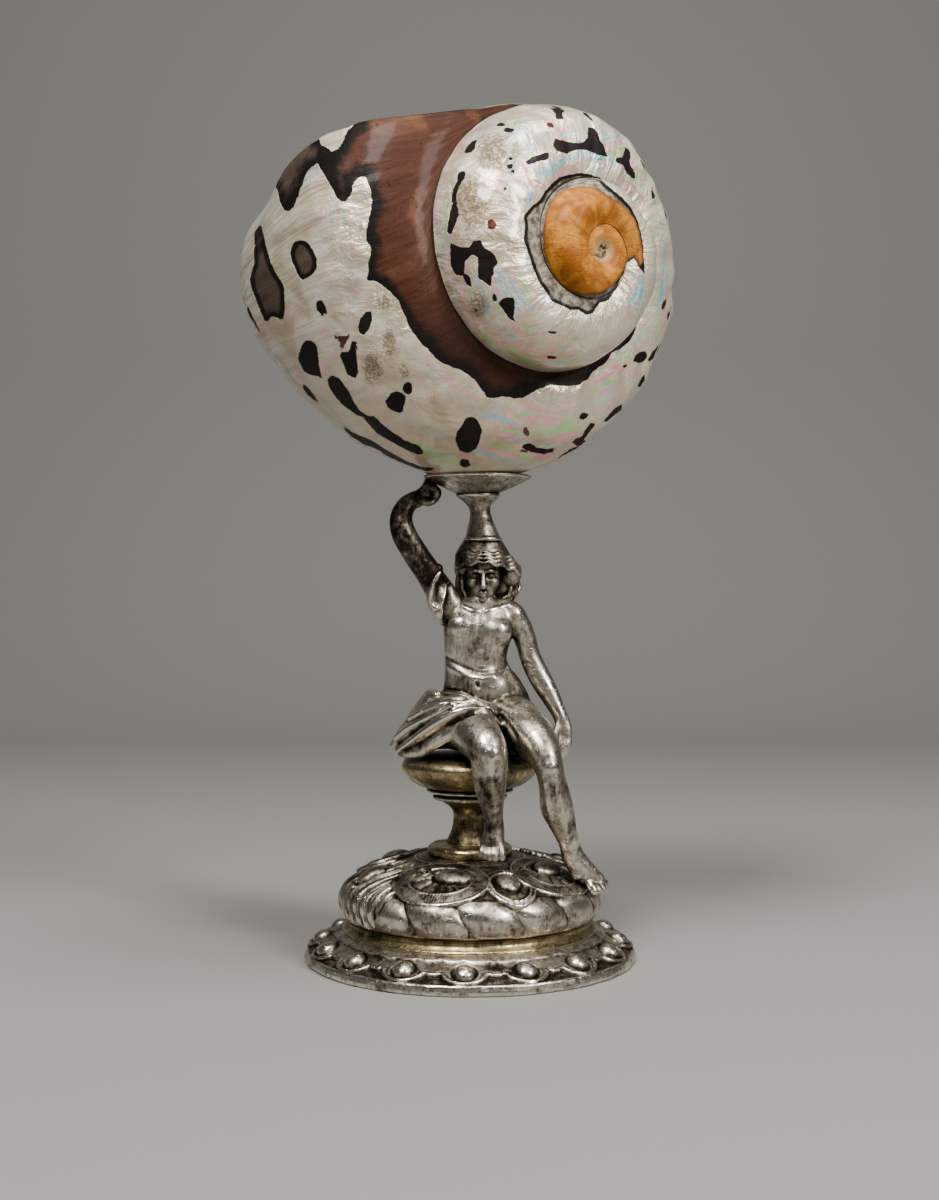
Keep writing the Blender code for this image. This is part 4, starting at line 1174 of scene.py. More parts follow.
figure = {
    # Painted shade on the raised arm in the shell's shadow and on the right shin, eased at the hand; the
    # drapery is lightened.
    "extraShadeAndTarnish": {"arm": 0.8, "hand": 0.4, "shin": 0.3, "drape": 0.22},
    "grain": 0.33,
    "headGrain": 0.17,
    "softening": 16,
    "limbs": {  # x, y, z, half width, half depth from root to tip
        "torso": ((3.0, 2.5, 49.9, 11.6, 8.4), (3.2, 2.6, 54.0, 12.3, 8.8), (3.3, 2.4, 58.6, 11.7, 8.1),
                  (2.8, 2.0, 62.4, 10.2, 7.0), (1.9, 1.4, 66.4, 8.3, 5.8), (1.4, 0.9, 70.0, 7.45, 5.1),
                  (1.5, 0.4, 73.6, 7.75, 5.2), (1.9, 0.2, 77.2, 8.3, 5.2), (2.4, 0.6, 80.4, 8.5, 4.7),
                  (2.8, 1.2, 83.0, 7.0, 3.8), (3.0, 1.4, 84.8, 4.2, 3.1)),
        "throat": ((3.0, 1.6, 83.0, 3.1, 2.9), (3.05, 1.1, 85.6, 2.45, 2.5), (3.1, 0.8, 88.4, 2.6, 2.7)),
        "raisedArm": ((-2.6, 1.4, 80.6, 3.6, 3.4), (-6.4, 0.5, 85.6, 3.5, 3.4), (-9.8, -0.6, 90.9, 3.15, 3.1),
                      (-13.2, -1.9, 96.0, 3.05, 3.0), (-15.6, -2.6, 100.2, 2.95, 2.9),
                      (-16.3, -2.2, 103.8, 2.7, 2.7), (-15.2, -1.3, 106.8, 2.35, 2.4),
                      (-13.2, -0.7, 108.5, 1.95, 2.1), (-11.8, -0.5, 109.1, 1.7, 1.9)),
        "raisedPalm": ((-13.0, -0.7, 108.1, 1.8, 2.1), (-11.2, -0.8, 109.3, 2.0, 2.5),
                       (-9.9, -0.7, 110.8, 1.9, 2.6), (-9.5, -0.6, 112.3, 1.6, 2.2)),
        "raisedThumb": ((-11.6, -2.6, 108.1, 0.8, 0.8), (-10.0, -3.4, 107.5, 0.85, 0.85),
                        (-8.6, -3.2, 107.8, 0.7, 0.7)),
        "loweredArm": ((7.6, 1.5, 82.6, 3.0, 2.9), (10.2, 1.6, 80.9, 3.1, 3.2), (12.1, 1.8, 78.0, 2.85, 3.0),
                       (13.4, 2.0, 74.6, 2.7, 2.8), (14.3, 2.0, 71.2, 2.6, 2.7), (15.6, 1.7, 68.2, 2.75, 2.7),
                       (17.3, 1.1, 65.0, 2.75, 2.6), (19.3, 0.3, 61.4, 2.4, 2.3),
                       (21.0, -0.6, 58.0, 1.9, 1.7), (21.8, -1.0, 56.0, 1.75, 1.45)),
        "loweredPalm": ((21.8, -1.0, 56.4, 1.8, 1.2), (22.3, -1.5, 53.8, 2.1, 1.1),
                        (22.4, -1.8, 51.8, 1.9, 0.95)),
        "loweredThumb": ((21.0, -1.8, 55.4, 0.75, 0.75), (20.2, -2.7, 53.0, 0.75, 0.75),
                         (20.3, -3.2, 51.2, 0.6, 0.6)),
        "rightLeg": ((-3.0, -1.0, 56.0, 7.0, 6.0), (-1.6, -7.0, 56.0, 6.6, 5.9), (0.6, -12.4, 54.6, 5.9, 5.5),
                     (2.6, -16.8, 52.8, 5.1, 5.1), (3.9, -19.6, 50.9, 4.6, 4.7), (4.4, -20.3, 48.4, 4.3, 4.2),
                     (4.4, -19.8, 45.6, 3.95, 3.9), (4.6, -18.8, 42.6, 3.7, 3.8),
                     (4.9, -17.8, 39.4, 3.0, 3.2), (5.3, -16.9, 36.4, 2.3, 2.6),
                     (5.6, -16.2, 33.9, 2.05, 2.4)),
        "rightCalf": ((4.4, -17.6, 46.6, 2.6, 2.2), (4.6, -16.4, 43.0, 3.3, 2.9),
                      (4.9, -16.0, 39.0, 2.2, 2.0)),
        "rightFoot": ((5.6, -15.4, 34.6, 2.1, 2.7), (5.5, -16.2, 31.8, 2.4, 2.5),
                      (5.1, -17.3, 29.4, 2.8, 1.9), (4.9, -18.1, 28.0, 2.95, 1.25)),
        "leftLeg": ((8.6, -1.0, 56.0, 7.3, 6.3), (11.2, -6.4, 55.6, 6.5, 5.9), (14.0, -11.4, 53.4, 5.5, 5.3),
                    (16.4, -15.0, 50.4, 4.4, 4.7), (17.8, -16.8, 47.3, 3.5, 4.0),
                    (18.6, -17.0, 44.0, 3.2, 3.7), (19.2, -16.4, 41.0, 3.5, 3.8),
                    (19.8, -15.6, 37.6, 3.85, 3.9), (20.9, -14.6, 34.4, 3.3, 3.4),
                    (22.0, -13.6, 31.2, 2.65, 2.8), (22.9, -12.6, 28.4, 2.35, 2.5)),
        "leftFoot": ((22.9, -11.8, 28.4, 2.3, 2.7), (24.0, -11.5, 25.2, 2.7, 2.8),
                     (25.8, -11.4, 22.7, 2.8, 2.5), (28.0, -11.2, 20.5, 2.6, 2.0),
                     (29.4, -11.2, 19.5, 2.3, 1.5)),
        "drapeFront": ((5.0, -9.6, 58.6, 2.2, 2.0), (1.4, -11.6, 58.9, 3.4, 3.2),
                       (-2.6, -11.6, 58.6, 4.4, 4.1), (-7.2, -9.8, 56.5, 5.4, 4.9),
                       (-11.0, -7.6, 54.1, 5.0, 4.7), (-14.4, -5.2, 51.8, 3.7, 3.8),
                       (-16.9, -3.2, 50.2, 2.0, 2.6)),
        "drapeSide": ((-7.4, 1.2, 61.6, 3.2, 6.0), (-10.2, 1.0, 56.6, 4.2, 7.6),
                      (-13.0, 0.4, 51.9, 4.0, 7.8)),
        "drapeBack": ((-11.0, 4.4, 51.8, 3.4, 3.4), (-3.4, 8.0, 52.0, 3.7, 3.8), (5.0, 8.6, 52.0, 3.8, 3.8),
                      (12.4, 5.6, 51.6, 3.3, 3.3), (18.2, 1.8, 51.4, 1.9, 1.6), (22.4, -0.4, 52.2, 1.5, 0.9)),
        "drapeRim": ((-18.2, -2.6, 50.6, 0.9, 0.9), (-16.6, -5.2, 49.0, 1.3, 1.2),
                     (-11.9, -8.8, 49.2, 1.4, 1.3), (-8.8, -11.4, 51.0, 1.3, 1.3),
                     (-5.7, -13.4, 53.1, 1.3, 1.2), (-3.0, -14.7, 55.6, 1.2, 1.1),
                     (-0.4, -15.3, 57.4, 1.1, 1.0), (2.3, -15.2, 58.3, 1.0, 0.9),
                     (4.8, -14.0, 57.8, 0.9, 0.8), (6.6, -12.0, 56.2, 0.6, 0.6)),
        "sleeve": ((-7.6, -1.9, 92.0, 1.3, 1.3), (-8.3, -2.2, 87.6, 2.1, 2.0), (-7.6, -2.0, 83.2, 2.2, 2.0),
                   (-6.4, -1.4, 79.4, 1.1, 1.2)),
    },
    "blunt": {"torso": 0.24, "drapeSide": 0.3, "rightLeg": 0.5, "leftLeg": 0.5},  # rounder ends are 1
    "swellings": (  # centre, half sizes
        ((-1.9, -2.3, 78.2), (3.8, 3.1, 3.6)), ((6.3, -2.4, 77.0), (3.8, 3.1, 3.6)),
        ((3.2, -2.7, 63.4), (6.6, 3.0, 5.4)), ((4.7, -22.5, 50.3), (2.7, 2.3, 2.6)),
        ((18.1, -19.2, 46.8), (2.3, 2.0, 2.6)), ((24.6, -12.2, 21.6), (1.6, 2.0, 1.5)),
        ((10.2, 1.4, 81.0), (3.3, 3.3, 3.1)), ((-4.6, 1.2, 82.2), (3.6, 3.3, 3.4)),
        ((5.6, -13.6, 31.4), (1.7, 1.8, 1.9)),
        ((-9.6, -1.9, 109.6), (1.5, 1.6, 1.6))),
    # start, end and radius of each toe
    "toes": (
        ((7.1, -18.6, 28.6), (7.25, -19.5, 26.5), 0.88), ((5.6, -18.9, 28.3), (5.65, -19.9, 26.2), 0.64),
        ((4.5, -18.9, 28.2), (4.45, -19.8, 26.3), 0.58), ((3.5, -18.7, 28.3), (3.35, -19.5, 26.6), 0.55),
        ((2.6, -18.3, 28.6), (2.35, -19.0, 27.1), 0.52),
        ((27.4, -13.0, 19.6), (28.6, -14.2, 17.8), 0.92), ((28.9, -12.9, 19.2), (29.9, -13.8, 17.9), 0.62),
        ((29.9, -12.1, 19.3), (30.9, -12.9, 18.2), 0.56), ((30.5, -11.2, 19.6), (31.5, -11.8, 18.6), 0.52),
        ((30.9, -10.2, 20.0), (31.8, -10.6, 19.2), 0.5)),
    # base, knuckle, tip and radius of each finger
    "fingers": (
        ((-9.6, -2.5, 111.4), (-7.9, -2.9, 110.2), (-8.6, -2.8, 108.4), 0.8),
        ((-9.4, -1.1, 111.8), (-7.5, -1.3, 110.3), (-8.2, -1.3, 108.3), 0.84),
        ((-9.4, 0.3, 111.8), (-7.5, 0.3, 110.3), (-8.2, 0.3, 108.3), 0.84),
        ((-9.6, 1.6, 111.4), (-7.9, 1.8, 110.2), (-8.6, 1.8, 108.6), 0.74),
        ((21.3, -2.0, 52.2), (20.9, -2.6, 50.0), (20.8, -2.4, 47.8), 0.66),
        ((22.1, -2.1, 52.0), (21.8, -2.8, 49.6), (21.6, -2.6, 47.3), 0.68),
        ((22.9, -2.0, 52.0), (22.8, -2.6, 49.8), (22.5, -2.5, 47.8), 0.66),
        ((23.7, -1.7, 52.4), (23.7, -2.2, 50.4), (23.4, -2.2, 48.8), 0.58)),
    # Lines in photo pixels that the chaser's tools left: path, half width, height
    "lines": (
        (((443, 656), (455, 663), (468, 669), (482, 673), (496, 672), (507, 667)), 0.55, -0.4),
        (((447, 666), (460, 673), (478, 678), (494, 677)), 0.9, 0.3),
        (((481, 612), (480, 625), (479, 642)), 1.1, -0.35),
        (((462, 606), (471, 610), (479, 611)), 0.5, 0.3), (((486, 611), (497, 608), (509, 605)), 0.5, 0.3),
        (((477, 683), (478, 686)), 0.5, -0.5),
        (((399, 751), (410, 742), (430, 727), (452, 714), (470, 709.5), (487, 711.5)), 0.95, 0.95),
        (((405, 750), (421, 744), (437, 733), (455, 721), (472, 714)), 0.5, -0.75),
        (((398, 744), (412, 733), (431, 719), (449, 709.5)), 0.55, -0.75),
        (((396, 738), (410, 727), (430, 717.5), (452, 706)), 0.75, 0.7),
        (((407, 722), (428, 712), (450, 703)), 0.5, -0.4),
        (((410, 718), (430, 708), (453, 702.5), (470, 702.5)), 0.7, 0.5),
        (((414, 711), (428, 702.5), (446, 698.5), (463, 700)), 0.6, -0.45),
        (((436, 695), (447, 694), (457, 694.5), (466, 697), (478, 703), (491, 711)), 0.75, 0.75),
        (((436, 690), (450, 689), (462, 691), (474, 697)), 0.5, -0.35),
        (((439, 573), (432.5, 586), (431, 599), (435, 609)), 0.55, 0.75),
        (((447, 586), (443, 598), (438.5, 608)), 0.55, 0.6),
        (((439, 584), (436.5, 594), (436.5, 602)), 0.7, -1.0),
        (((451, 568), (448, 590), (446, 610), (445, 628)), 0.6, -0.85),
        (((492, 760), (491, 775), (493, 795), (496, 812)), 0.8, 0.3),
        (((481, 765), (481, 780), (485, 795)), 0.9, -0.25),
        (((556, 778), (560, 798), (564, 822), (568, 840)), 0.8, 0.3),
        (((545, 784), (547, 800), (551, 818)), 0.8, 0.35), (((500, 716), (508, 724), (516, 738)), 0.6, -0.35),
        (((500, 700), (512, 706), (526, 716)), 0.8, -0.25),
        (((519, 664), (524, 662), (531, 664)), 0.5, -0.3)),
}
head = {
    "centre": (3.1, 0.7, 90.8),
    "scale": 1.03,  # millimetres to one of the units below, in which the head is 13 high
    "bow": math.radians(8),
    "skull": ((0, 2.3, -5.7, 1.3, 1.5), (0, 1.7, -4.8, 2.4, 2.8), (0, 0.9, -3.1, 3.3, 3.8),
              (0, 0.3, -1.0, 3.9, 4.6), (0, -0.3, 1.0, 4.25, 5.15), (0, -0.6, 3.0, 4.4, 5.3),
              (0, -0.7, 4.6, 3.8, 4.6), (0, -0.8, 5.6, 2.4, 3.2)),
    "sockets": ((1.8, 4.4, 0.1), (1.15, 0.75), 0.75),  # centre, half sizes, depth
    "features": (
        ((0, 4.5, 1.1, 0.5, 0.45), (0, 4.95, -0.2, 0.5, 0.5), (0, 5.6, -1.6, 0.62, 0.6),
         (0, 5.9, -2.15, 0.68, 0.6)),
        ((-1.25, 4.45, -3.8, 0.2, 0.2), (-0.5, 4.95, -3.62, 0.32, 0.3), (0, 5.0, -3.7, 0.3, 0.28),
         (0.5, 4.95, -3.62, 0.32, 0.3), (1.25, 4.45, -3.8, 0.2, 0.2)),
        ((-1.0, 4.45, -4.1, 0.2, 0.2), (0, 4.9, -4.32, 0.42, 0.36), (1.0, 4.45, -4.1, 0.2, 0.2)),
    ),
    "pairs": (
        ((0.5, 4.65, 1.0, 0.34, 0.36), (1.8, 4.7, 1.3, 0.36, 0.36), (3.1, 3.85, 1.0, 0.28, 0.28)),
        ((0.85, 4.25, 0.05, 0.15, 0.15), (1.8, 4.62, 0.4, 0.19, 0.19), (2.75, 4.0, 0.05, 0.14, 0.14))),
    "pairedSwellings": (((1.8, 3.85, -0.02), (0.92, 0.72, 0.52)), ((0.62, 5.1, -2.1), (0.4, 0.5, 0.38)),
                        ((2.2, 3.1, -1.5), (1.5, 1.4, 1.3))),
    "swellings": (((0, 3.7, -5.2), (1.2, 1.0, 0.85)), ((0, -2.0, 0.9), (4.6, 4.4, 4.4)),
                  ((0.5, -5.0, -1.0), (2.5, 2.0, 2.2)), ((6.3, -1.4, 0.0), (2.6, 2.9, 3.3)),
                  ((-4.6, -1.0, 1.2), (1.9, 2.6, 2.4)), ((4.6, -1.8, -3.2), (2.7, 1.9, 3.2)),
                  ((-4.2, -1.8, -2.8), (2.0, 1.8, 3.4))),
    # The lowest lock on each side, from the parting to its end
    "rightLock": ((0.2, 5.3, 3.3), (2.4, 5.0, 3.0), (4.4, 3.6, 2.3), (6.2, 2.0, 1.6), (7.9, 0.8, 0.6),
                  (8.5, -0.8, -0.8), (7.4, -1.4, -2.8), (5.6, -1.4, -4.4)),
    "leftLock": ((-0.2, 5.3, 3.3), (-2.4, 5.0, 3.1), (-4.3, 3.4, 2.7), (-5.7, 1.4, 2.0), (-6.2, -0.8, 0.8),
                 (-5.5, -2.3, -1.2), (-3.7, -3.8, -2.6)),
    "locks": 4,
    "lockStep": (0.0, -0.14, 0.76),
    "lockRadius": 0.47,
    "lockWave": (0.3, 3.8),  # swing and length of a wave
    "fallingLocks": (((7.7, -1.0, -1.8), (7.5, -0.5, -3.8), (6.1, 0.3, -5.4), (5.7, 0.8, -7.2)),
                     ((6.6, -0.5, -2.8), (6.1, 0.3, -4.4), (4.8, 1.0, -5.9), (4.1, 1.3, -7.2)),
                     ((8.2, -2.0, -1.6), (8.4, -1.8, -3.8), (7.4, -1.1, -5.7), (7.1, -1.1, -7.5)),
                     ((-4.2, 0.6, 1.2), (-4.8, 0.4, -1.4), (-4.6, 0.2, -3.8), (-3.8, 0.3, -5.8)),
                     ((-5.2, -0.6, 0.4), (-5.9, -0.8, -2.0), (-5.6, -0.8, -4.4), (-4.8, -0.4, -6.2))),
    "cap": ((6.3, 94.2), (6.6, 94.9), (6.45, 95.6), (5.95, 96.6), (5.3, 97.7), (4.7, 98.6), (4.4, 99.2)),
    "capDepth": 0.84,  # its front and back are flatter than its sides
    "capPlace": (3.0, 0.6),
    "turns": 84,
}


def limb(shape, stations, steps=5, sides=26, ends=1.0):
    # One closed body through elliptical stations, with rounded ends.
    line = smoothLine(stations, steps)
    centres = [Vector(station[:3]) for station in line]
    whole = (centres[-1] - centres[0]).normalized()
    reference = Vector((0, 0, 1)) if abs(whole.x) > 0.9 else Vector((1, 0, 0))
    rings = []
    for index, station in enumerate(line):
        along = (centres[min(index + 1, len(line) - 1)] - centres[max(index - 1, 0)]).normalized()
        across = (reference - along * reference.dot(along)).normalized()
        rings.append((centres[index], across * station[3], along.cross(across) * station[4],
                      along * min(station[3], station[4]) * ends))
    angles = [math.radians(angle) for angle in (90, 72, 54, 36, 18)]
    start, end = rings[0], rings[-1]
    first = [(start[0] - start[3] * math.sin(a), start[1] * math.cos(a), start[2] * math.cos(a))
             for a in angles]
    last = [(end[0] + end[3] * math.sin(a), end[1] * math.cos(a), end[2] * math.cos(a))
            for a in reversed(angles)]
    rings = first + [ring[:3] for ring in rings] + last

    def place(row, column):
        centre, across, deep = rings[row]
        turn = math.tau * column / sides
        return centre + across * math.cos(turn) + deep * math.sin(turn)

    return wovenGrid(shape, len(rings) - 1, sides, place)


def swelling(shape, centre, sizes):
    made = bmesh.ops.create_icosphere(shape, subdivisions=3, radius=1.0)["verts"]
    bmesh.ops.scale(shape, vec=sizes, verts=made)
    bmesh.ops.translate(shape, vec=centre, verts=made)


def drawnOn(mesh, pixels):
    # Where a line drawn in photo pixels falls on a mesh, seen by the camera, in millimetres.
    tree = rayTree(mesh)
    eye = Vector(view["eye"]) * mm
    found = []
    for x, y in pixels:
        way = Vector(((x - view["centre"][0]) / view["reach"], 1, (view["centre"][1] - y) / view["reach"]))
        hit = tree.ray_cast(eye, way.normalized())[0]
        if hit is not None:
            found.append(np.array(hit) / mm)
    return found


def tooled(mesh, lines):
    # Raises or sinks soft lines along paths that are drawn on the mesh.
    places, normals = surfaceOf(mesh)
    lift = np.zeros(len(places))
    for pixels, width, height in lines:
        path = np.array(drawnOn(mesh, smoothLine(pixels, 6)))
        if len(path) < 2:
            continue
        near = np.flatnonzero(((places > path.min(0) - 3 * width)
                               & (places < path.max(0) + 3 * width)).all(1))
        here = places[near][:, None, :]
        start, way = path[:-1], path[1:] - path[:-1]
        share = np.clip(((here - start) * way).sum(2) / np.maximum((way * way).sum(1), 1e-9), 0, 1)
        reach = np.linalg.norm(here - start - share[..., None] * way, axis=2).min(1)
        lift[near] += height * np.exp(-(reach / width) ** 2)
    liftSurface(mesh, places, normals, lift)


def castBody():
    shape = bmesh.new()
    for name, stations in figure["limbs"].items():
        limb(shape, stations, ends=figure["blunt"].get(name, 1.0))
    for centre, sizes in figure["swellings"]:
        swelling(shape, centre, sizes)
    for start, end, radius in figure["toes"]:
        middle = (np.array(start) + np.array(end)) / 2 + np.array((0, -0.25, 0.1))
        limb(shape, ((*start, radius, radius), (*middle, radius, radius),
                     (*end, radius * 0.95, radius * 0.9)), 3, 14)
    for start, middle, end, radius in figure["fingers"]:
        limb(shape, ((*start, radius, radius), (*middle, radius, radius),
                     (*end, radius * 0.85, radius * 0.85)), 4, 14)
    body = castInOne(finishMesh(shape, "figurePattern"), figure["grain"], 2)
    places = vertexArray(body) / mm
    soft = smoothStep(places[:, 2], 57, 61) * smoothStep(places[:, 2], 90, 84)
    soft = soft * smoothStep(places[:, 0], -9, -5)
    soft = np.maximum(soft, 0.4 * smoothStep(places[:, 2], 33, 37)
                      * smoothStep(places[:, 2], 58, 54))[:, None]
    placeVertices(body, (places * (1 - soft) + evened(body, places, figure["softening"]) * soft) * mm)
    tooled(body, figure["lines"])
    body.name = "castFigure"
    return body


def headPlace(x, forward, up):
    turned = Matrix.Rotation(head["bow"], 3, "X") @ Vector((x, -forward, up))
    return Vector(head["centre"]) + turned * head["scale"]


def headLimb(shape, stations, **how):
    placed = [(*headPlace(*station[:3]), station[3] * head["scale"], station[4] * head["scale"])
              for station in stations]
    return limb(shape, placed, **how)


def headSwelling(shape, centre, sizes):
    swelling(shape, headPlace(*centre), [size * head["scale"] for size in sizes])


def lockOfHair(shape, path, radius, phase):
    # A wavy strand along a path in the head's units, thin at both ends.
    line = smoothLine(path, 9)
    swing, length = head["lockWave"]
    gone, stations = 0.0, []
    for index, point in enumerate(line):
        share = index / (len(line) - 1)
        wave = swing * math.sin(math.tau * gone / length + phase)
        swell = radius * min(1.0, 0.5 + 2.5 * share, 0.45 + 2.2 * (1 - share))
        stations.append((point[0], point[1] + 0.3 * wave, point[2] + wave, swell, swell))
        if index + 1 < len(line):
            gone += float(np.linalg.norm(line[index + 1] - point))
    headLimb(shape, stations, steps=1, sides=12)


def castHead():
    shape = bmesh.new()
    skull = headLimb(shape, head["skull"], steps=8, sides=72)
    socket, sizes, depth = head["sockets"]
    back = headPlace(0, -1, 0) - headPlace(0, 0, 0)
    for vert in skull:
        for side in (-1, 1):
            gap = vert.co - headPlace(side * socket[0], socket[1], socket[2])
            if gap.dot(back) < 2.5:
                vert.co += back * depth * math.exp(-(gap.x / sizes[0]) ** 2 - (gap.z / sizes[1]) ** 2)
    for stations in head["features"]:
        headLimb(shape, stations, steps=5, sides=16)
    for side in (-1, 1):
        for stations in head["pairs"]:
            headLimb(shape, [(side * station[0], *station[1:]) for station in stations], steps=5, sides=14)
        for centre, sizes in head["pairedSwellings"]:
            headSwelling(shape, (side * centre[0], centre[1], centre[2]), sizes)
    for centre, sizes in head["swellings"]:
        headSwelling(shape, centre, sizes)
    step = np.array(head["lockStep"])
    for path in (head["rightLock"], head["leftLock"]):
        for count in range(head["locks"]):
            shifted = [np.array(point) + step * count * (1 if index < 4 else 0.6) for index,
                       point in enumerate(path)]
            lockOfHair(shape, shifted, head["lockRadius"], 0.6 * count)
    for count, path in enumerate(head["fallingLocks"]):
        lockOfHair(shape, path, head["lockRadius"] * 1.25, 1.3 * count)
    spun = turnedOutline(shape, smoothLine(head["cap"], 4), head["turns"])
    bmesh.ops.scale(shape, vec=(1, head["capDepth"], 1), verts=spun)
    bmesh.ops.translate(shape, vec=(*head["capPlace"], 0), verts=spun)
    cast = castInOne(finishMesh(shape, "headPattern"), figure["headGrain"], 1)
    cast.name = "castHead"
    return cast


def turnedOutline(shape, outline, sides):
    # Spins an outline of (radius, height) round the upright axis and shuts both ends.
    line = [shape.verts.new((radius, 0, height)) for radius, height in outline]
    edges = [shape.edges.new(pair) for pair in zip(line, line[1:])]
    bmesh.ops.spin(shape, geom=line + edges, cent=(0, 0, 0), axis=(0, 0, 1), angle=math.tau, steps=sides,
                   use_merge=True)
    latest = {vert for edge in edges for vert in edge.verts}
    made = set(latest)
    while latest:
        latest = {edge.other_vert(vert) for vert in latest for edge in vert.link_edges} - made
        made |= latest
    rims = {edge for vert in made for edge in vert.link_edges if edge.is_boundary}
    bmesh.ops.holes_fill(shape, edges=list(rims), sides=0)
    return list(made)


def figurePaintedShade(places):
    # Painted shade: the raised arm, in the shell's shadow, and the right shin are darker, and the drapery
    # over the seat is brighter.
    across, _, height = places.T
    extraShadeAndTarnish = figure["extraShadeAndTarnish"]
    arm = extraShadeAndTarnish["arm"] * smoothStep(height, 82, 96)
    shin = extraShadeAndTarnish["shin"] * smoothStep(height, 48, 42) * smoothStep(across, 10, 8)
    drape = extraShadeAndTarnish["drape"] * smoothStep(across, 0, -5)
    drape = drape * smoothStep(height, 62, 58) * smoothStep(height, 46, 50)
    hand = extraShadeAndTarnish["hand"] * smoothStep(height, 103, 108)
    return arm - hand + shin - drape


bodyMesh = castBody()
dressMetal(bodyMesh, "figure", extraShadeAndTarnish=figurePaintedShade(vertexArray(bodyMesh) / mm))
addPiece("castFigure", bodyMesh, figureSilver, "figure")
headMesh = castHead()
dressMetal(headMesh, "figure", fine=4, broad=30, extraShadeAndTarnish=0.12)
addPiece("castHead", headMesh, figureSilver, "figure")
print("The figure is cast:", len(bodyMesh.polygons), "and", len(headMesh.polygons), "faces")

# The foot: a flange with bosses in looped straps, a gilt ring, and a chased dome

foot = {
    "dome": ((28.6, 9.9), (29.5, 10.1), (29.5, 10.1), (30.3, 12.3), (30.4, 14.8), (29.5, 17.2), (26.8, 19.4),
             (22.6, 21.3), (17.0, 22.9), (11.2, 24.0), (8.6, 24.3)),
    "domeGrain": 0.28,
    "domeSides": 672,
    "domeReach": 38.6,  # the dome's skirt, measured along its surface from the middle
    "cartouches": (-17.5, 57.5),  # degrees from the front towards the right
    "cartouche": {"reach": 22.5, "half": (11.8, 8.9), "strap": 3.5, "boss": (2.5, -2.0),
                  "bossHalf": (4.5, 3.1), "high": 1.5},
    "drop": {"at": 21.9, "reach": 25.0, "half": (6.0, 6.9), "strap": 1.7, "boss": (0.0, -1.3),
             "bossHalf": (2.7, 3.3), "high": 1.3},
    "leaf": {"at": -62.0, "reach": 27.0, "half": (12.5, 12.5), "boss": (-2.8, -2.2), "bossHalf": (2.6, 4.1),
             "high": 1.4},
    "lobes": 15,
    "lobeStart": -0.4,
    "lobeLean": 6.0,
    "lobeReach": 29.6,
    "flange": ((34.0, 0.0), (38.9, 0.0), (38.9, 0.0), (39.3, 0.6), (39.1, 1.7), (38.4, 2.3), (36.8, 3.2),
               (33.2, 4.7), (30.4, 6.1), (29.2, 6.5)),
    "flangeGrain": 0.25,
    "flangeSides": 960,
    "bosses": 16,
    "firstBoss": -2.0,
    "bossRing": 35.0,
    "bossHalf": (2.45, 2.3),
    "bossHigh": 1.75,
    "loopHalf": (5.2, 3.45),
    "connector": 35.7,
    "apron": 31.7,
    "hammer": 0.07,
}


def evenLine(line, spacing):
    points = np.array(line)
    gone = np.concatenate([[0], np.cumsum(np.linalg.norm(np.diff(points, axis=0), axis=1))])
    there = np.linspace(0, gone[-1], max(2, round(gone[-1] / spacing)) + 1)
    return np.stack([np.interp(there, gone, points[:, axis]) for axis in range(points.shape[1])], 1)


def ridge(values, middle, width):
    return np.exp(-((values - middle) / width) ** 2)


def aroundFoot(theta, reach, at, turns):
    # Sideways and outward distances from a motif that is repeated round the foot.
    step = 360 / turns
    gap = np.radians((theta - at + step / 2) % step - step / 2)
    return reach * np.sin(gap), reach * np.cos(gap)


def domedBoss(side, out, boss, half, high):
    far = np.hypot((side - boss[0]) / half[0], (out - boss[1]) / half[1])
    return high * np.sqrt(np.clip(1 - far**2, 0, 1)), far


def lay(base, height, cover):
    return base * (1 - cover) + height * cover


def strapFrame(relief, side, out, motif):
    # An oval strap with beaded edges round a sunk field, and a boss in it.
    inside = (1 - np.hypot(side / motif["half"][0], out / motif["half"][1])) * min(motif["half"])
    angle = np.arctan2(out, side)
    strap = smoothStep(inside, motif["strap"] + 0.15, motif["strap"] - 0.2)
    height = 0.5 * strap + 0.22 * (ridge(inside, 0.32, 0.22) + ridge(inside, motif["strap"] - 0.3, 0.22))
    height += 0.06 * strap * np.sin(angle * 95) * smoothStep(inside, 0.5, 0.9)
    height -= 0.35 * (1 - strap)
    boss, far = domedBoss(side, out, motif["boss"], motif["bossHalf"], motif["high"])
    turn = np.degrees(np.arctan2(out - motif["boss"][1], side - motif["boss"][0])) % 360
    curl = turn + 9 * (far - 1)
    petals = np.abs(np.sin(np.radians(curl * 180 / 25))) ** 0.7
    petals = petals * smoothStep(turn, 50, 70) * smoothStep(turn, 262, 240)
    field = (1 - strap) * smoothStep(far, 1.12, 1.25)
    if motif["strap"] > 3:
        height += field * (0.62 * petals - 0.1)
        scroll = np.hypot(side + 5.2, out + 3.6)
        curled = 0.45 * ridge(scroll, 1.25, 0.35) + 0.35 * smoothStep(scroll, 0.6, 0.3)
        height = lay(height, curled, smoothStep(scroll, 1.9, 1.6))
    height = np.where(far < 1, boss, height - 0.3 * ridge(far, 1.09, 0.06))
    return lay(relief, height, smoothStep(inside, -0.1, 0.15))


def leafSpray(relief, side, out, motif):
    # Bold acanthus strokes that fan out below an upright boss and curl to the right.
    inside = (1 - np.hypot(side / motif["half"][0], (out - 2.0) / motif["half"][1])) * motif["half"][0]
    phase = (side / (1 + 0.035 * (out + 6)) + 2.3 * np.sin(out / 4.6 + 0.5)) * math.pi / 2.4
    stroke = np.abs(np.sin(phase)) ** 0.6
    vein = np.abs(np.sin(2.5 * phase + 0.6))
    height = 1.2 * stroke * (0.88 + 0.12 * np.sin(0.8 * out + 1.7 * side)) + 0.2 * vein - 0.5
    boss, far = domedBoss(side, out, motif["boss"], motif["bossHalf"], motif["high"])
    height = np.where(far < 1, boss + 0.3, height - 0.6 * ridge(far, 1.14, 0.12))
    return lay(relief, height, smoothStep(inside + 1.6 * (stroke - 0.6), -0.2, 0.5))


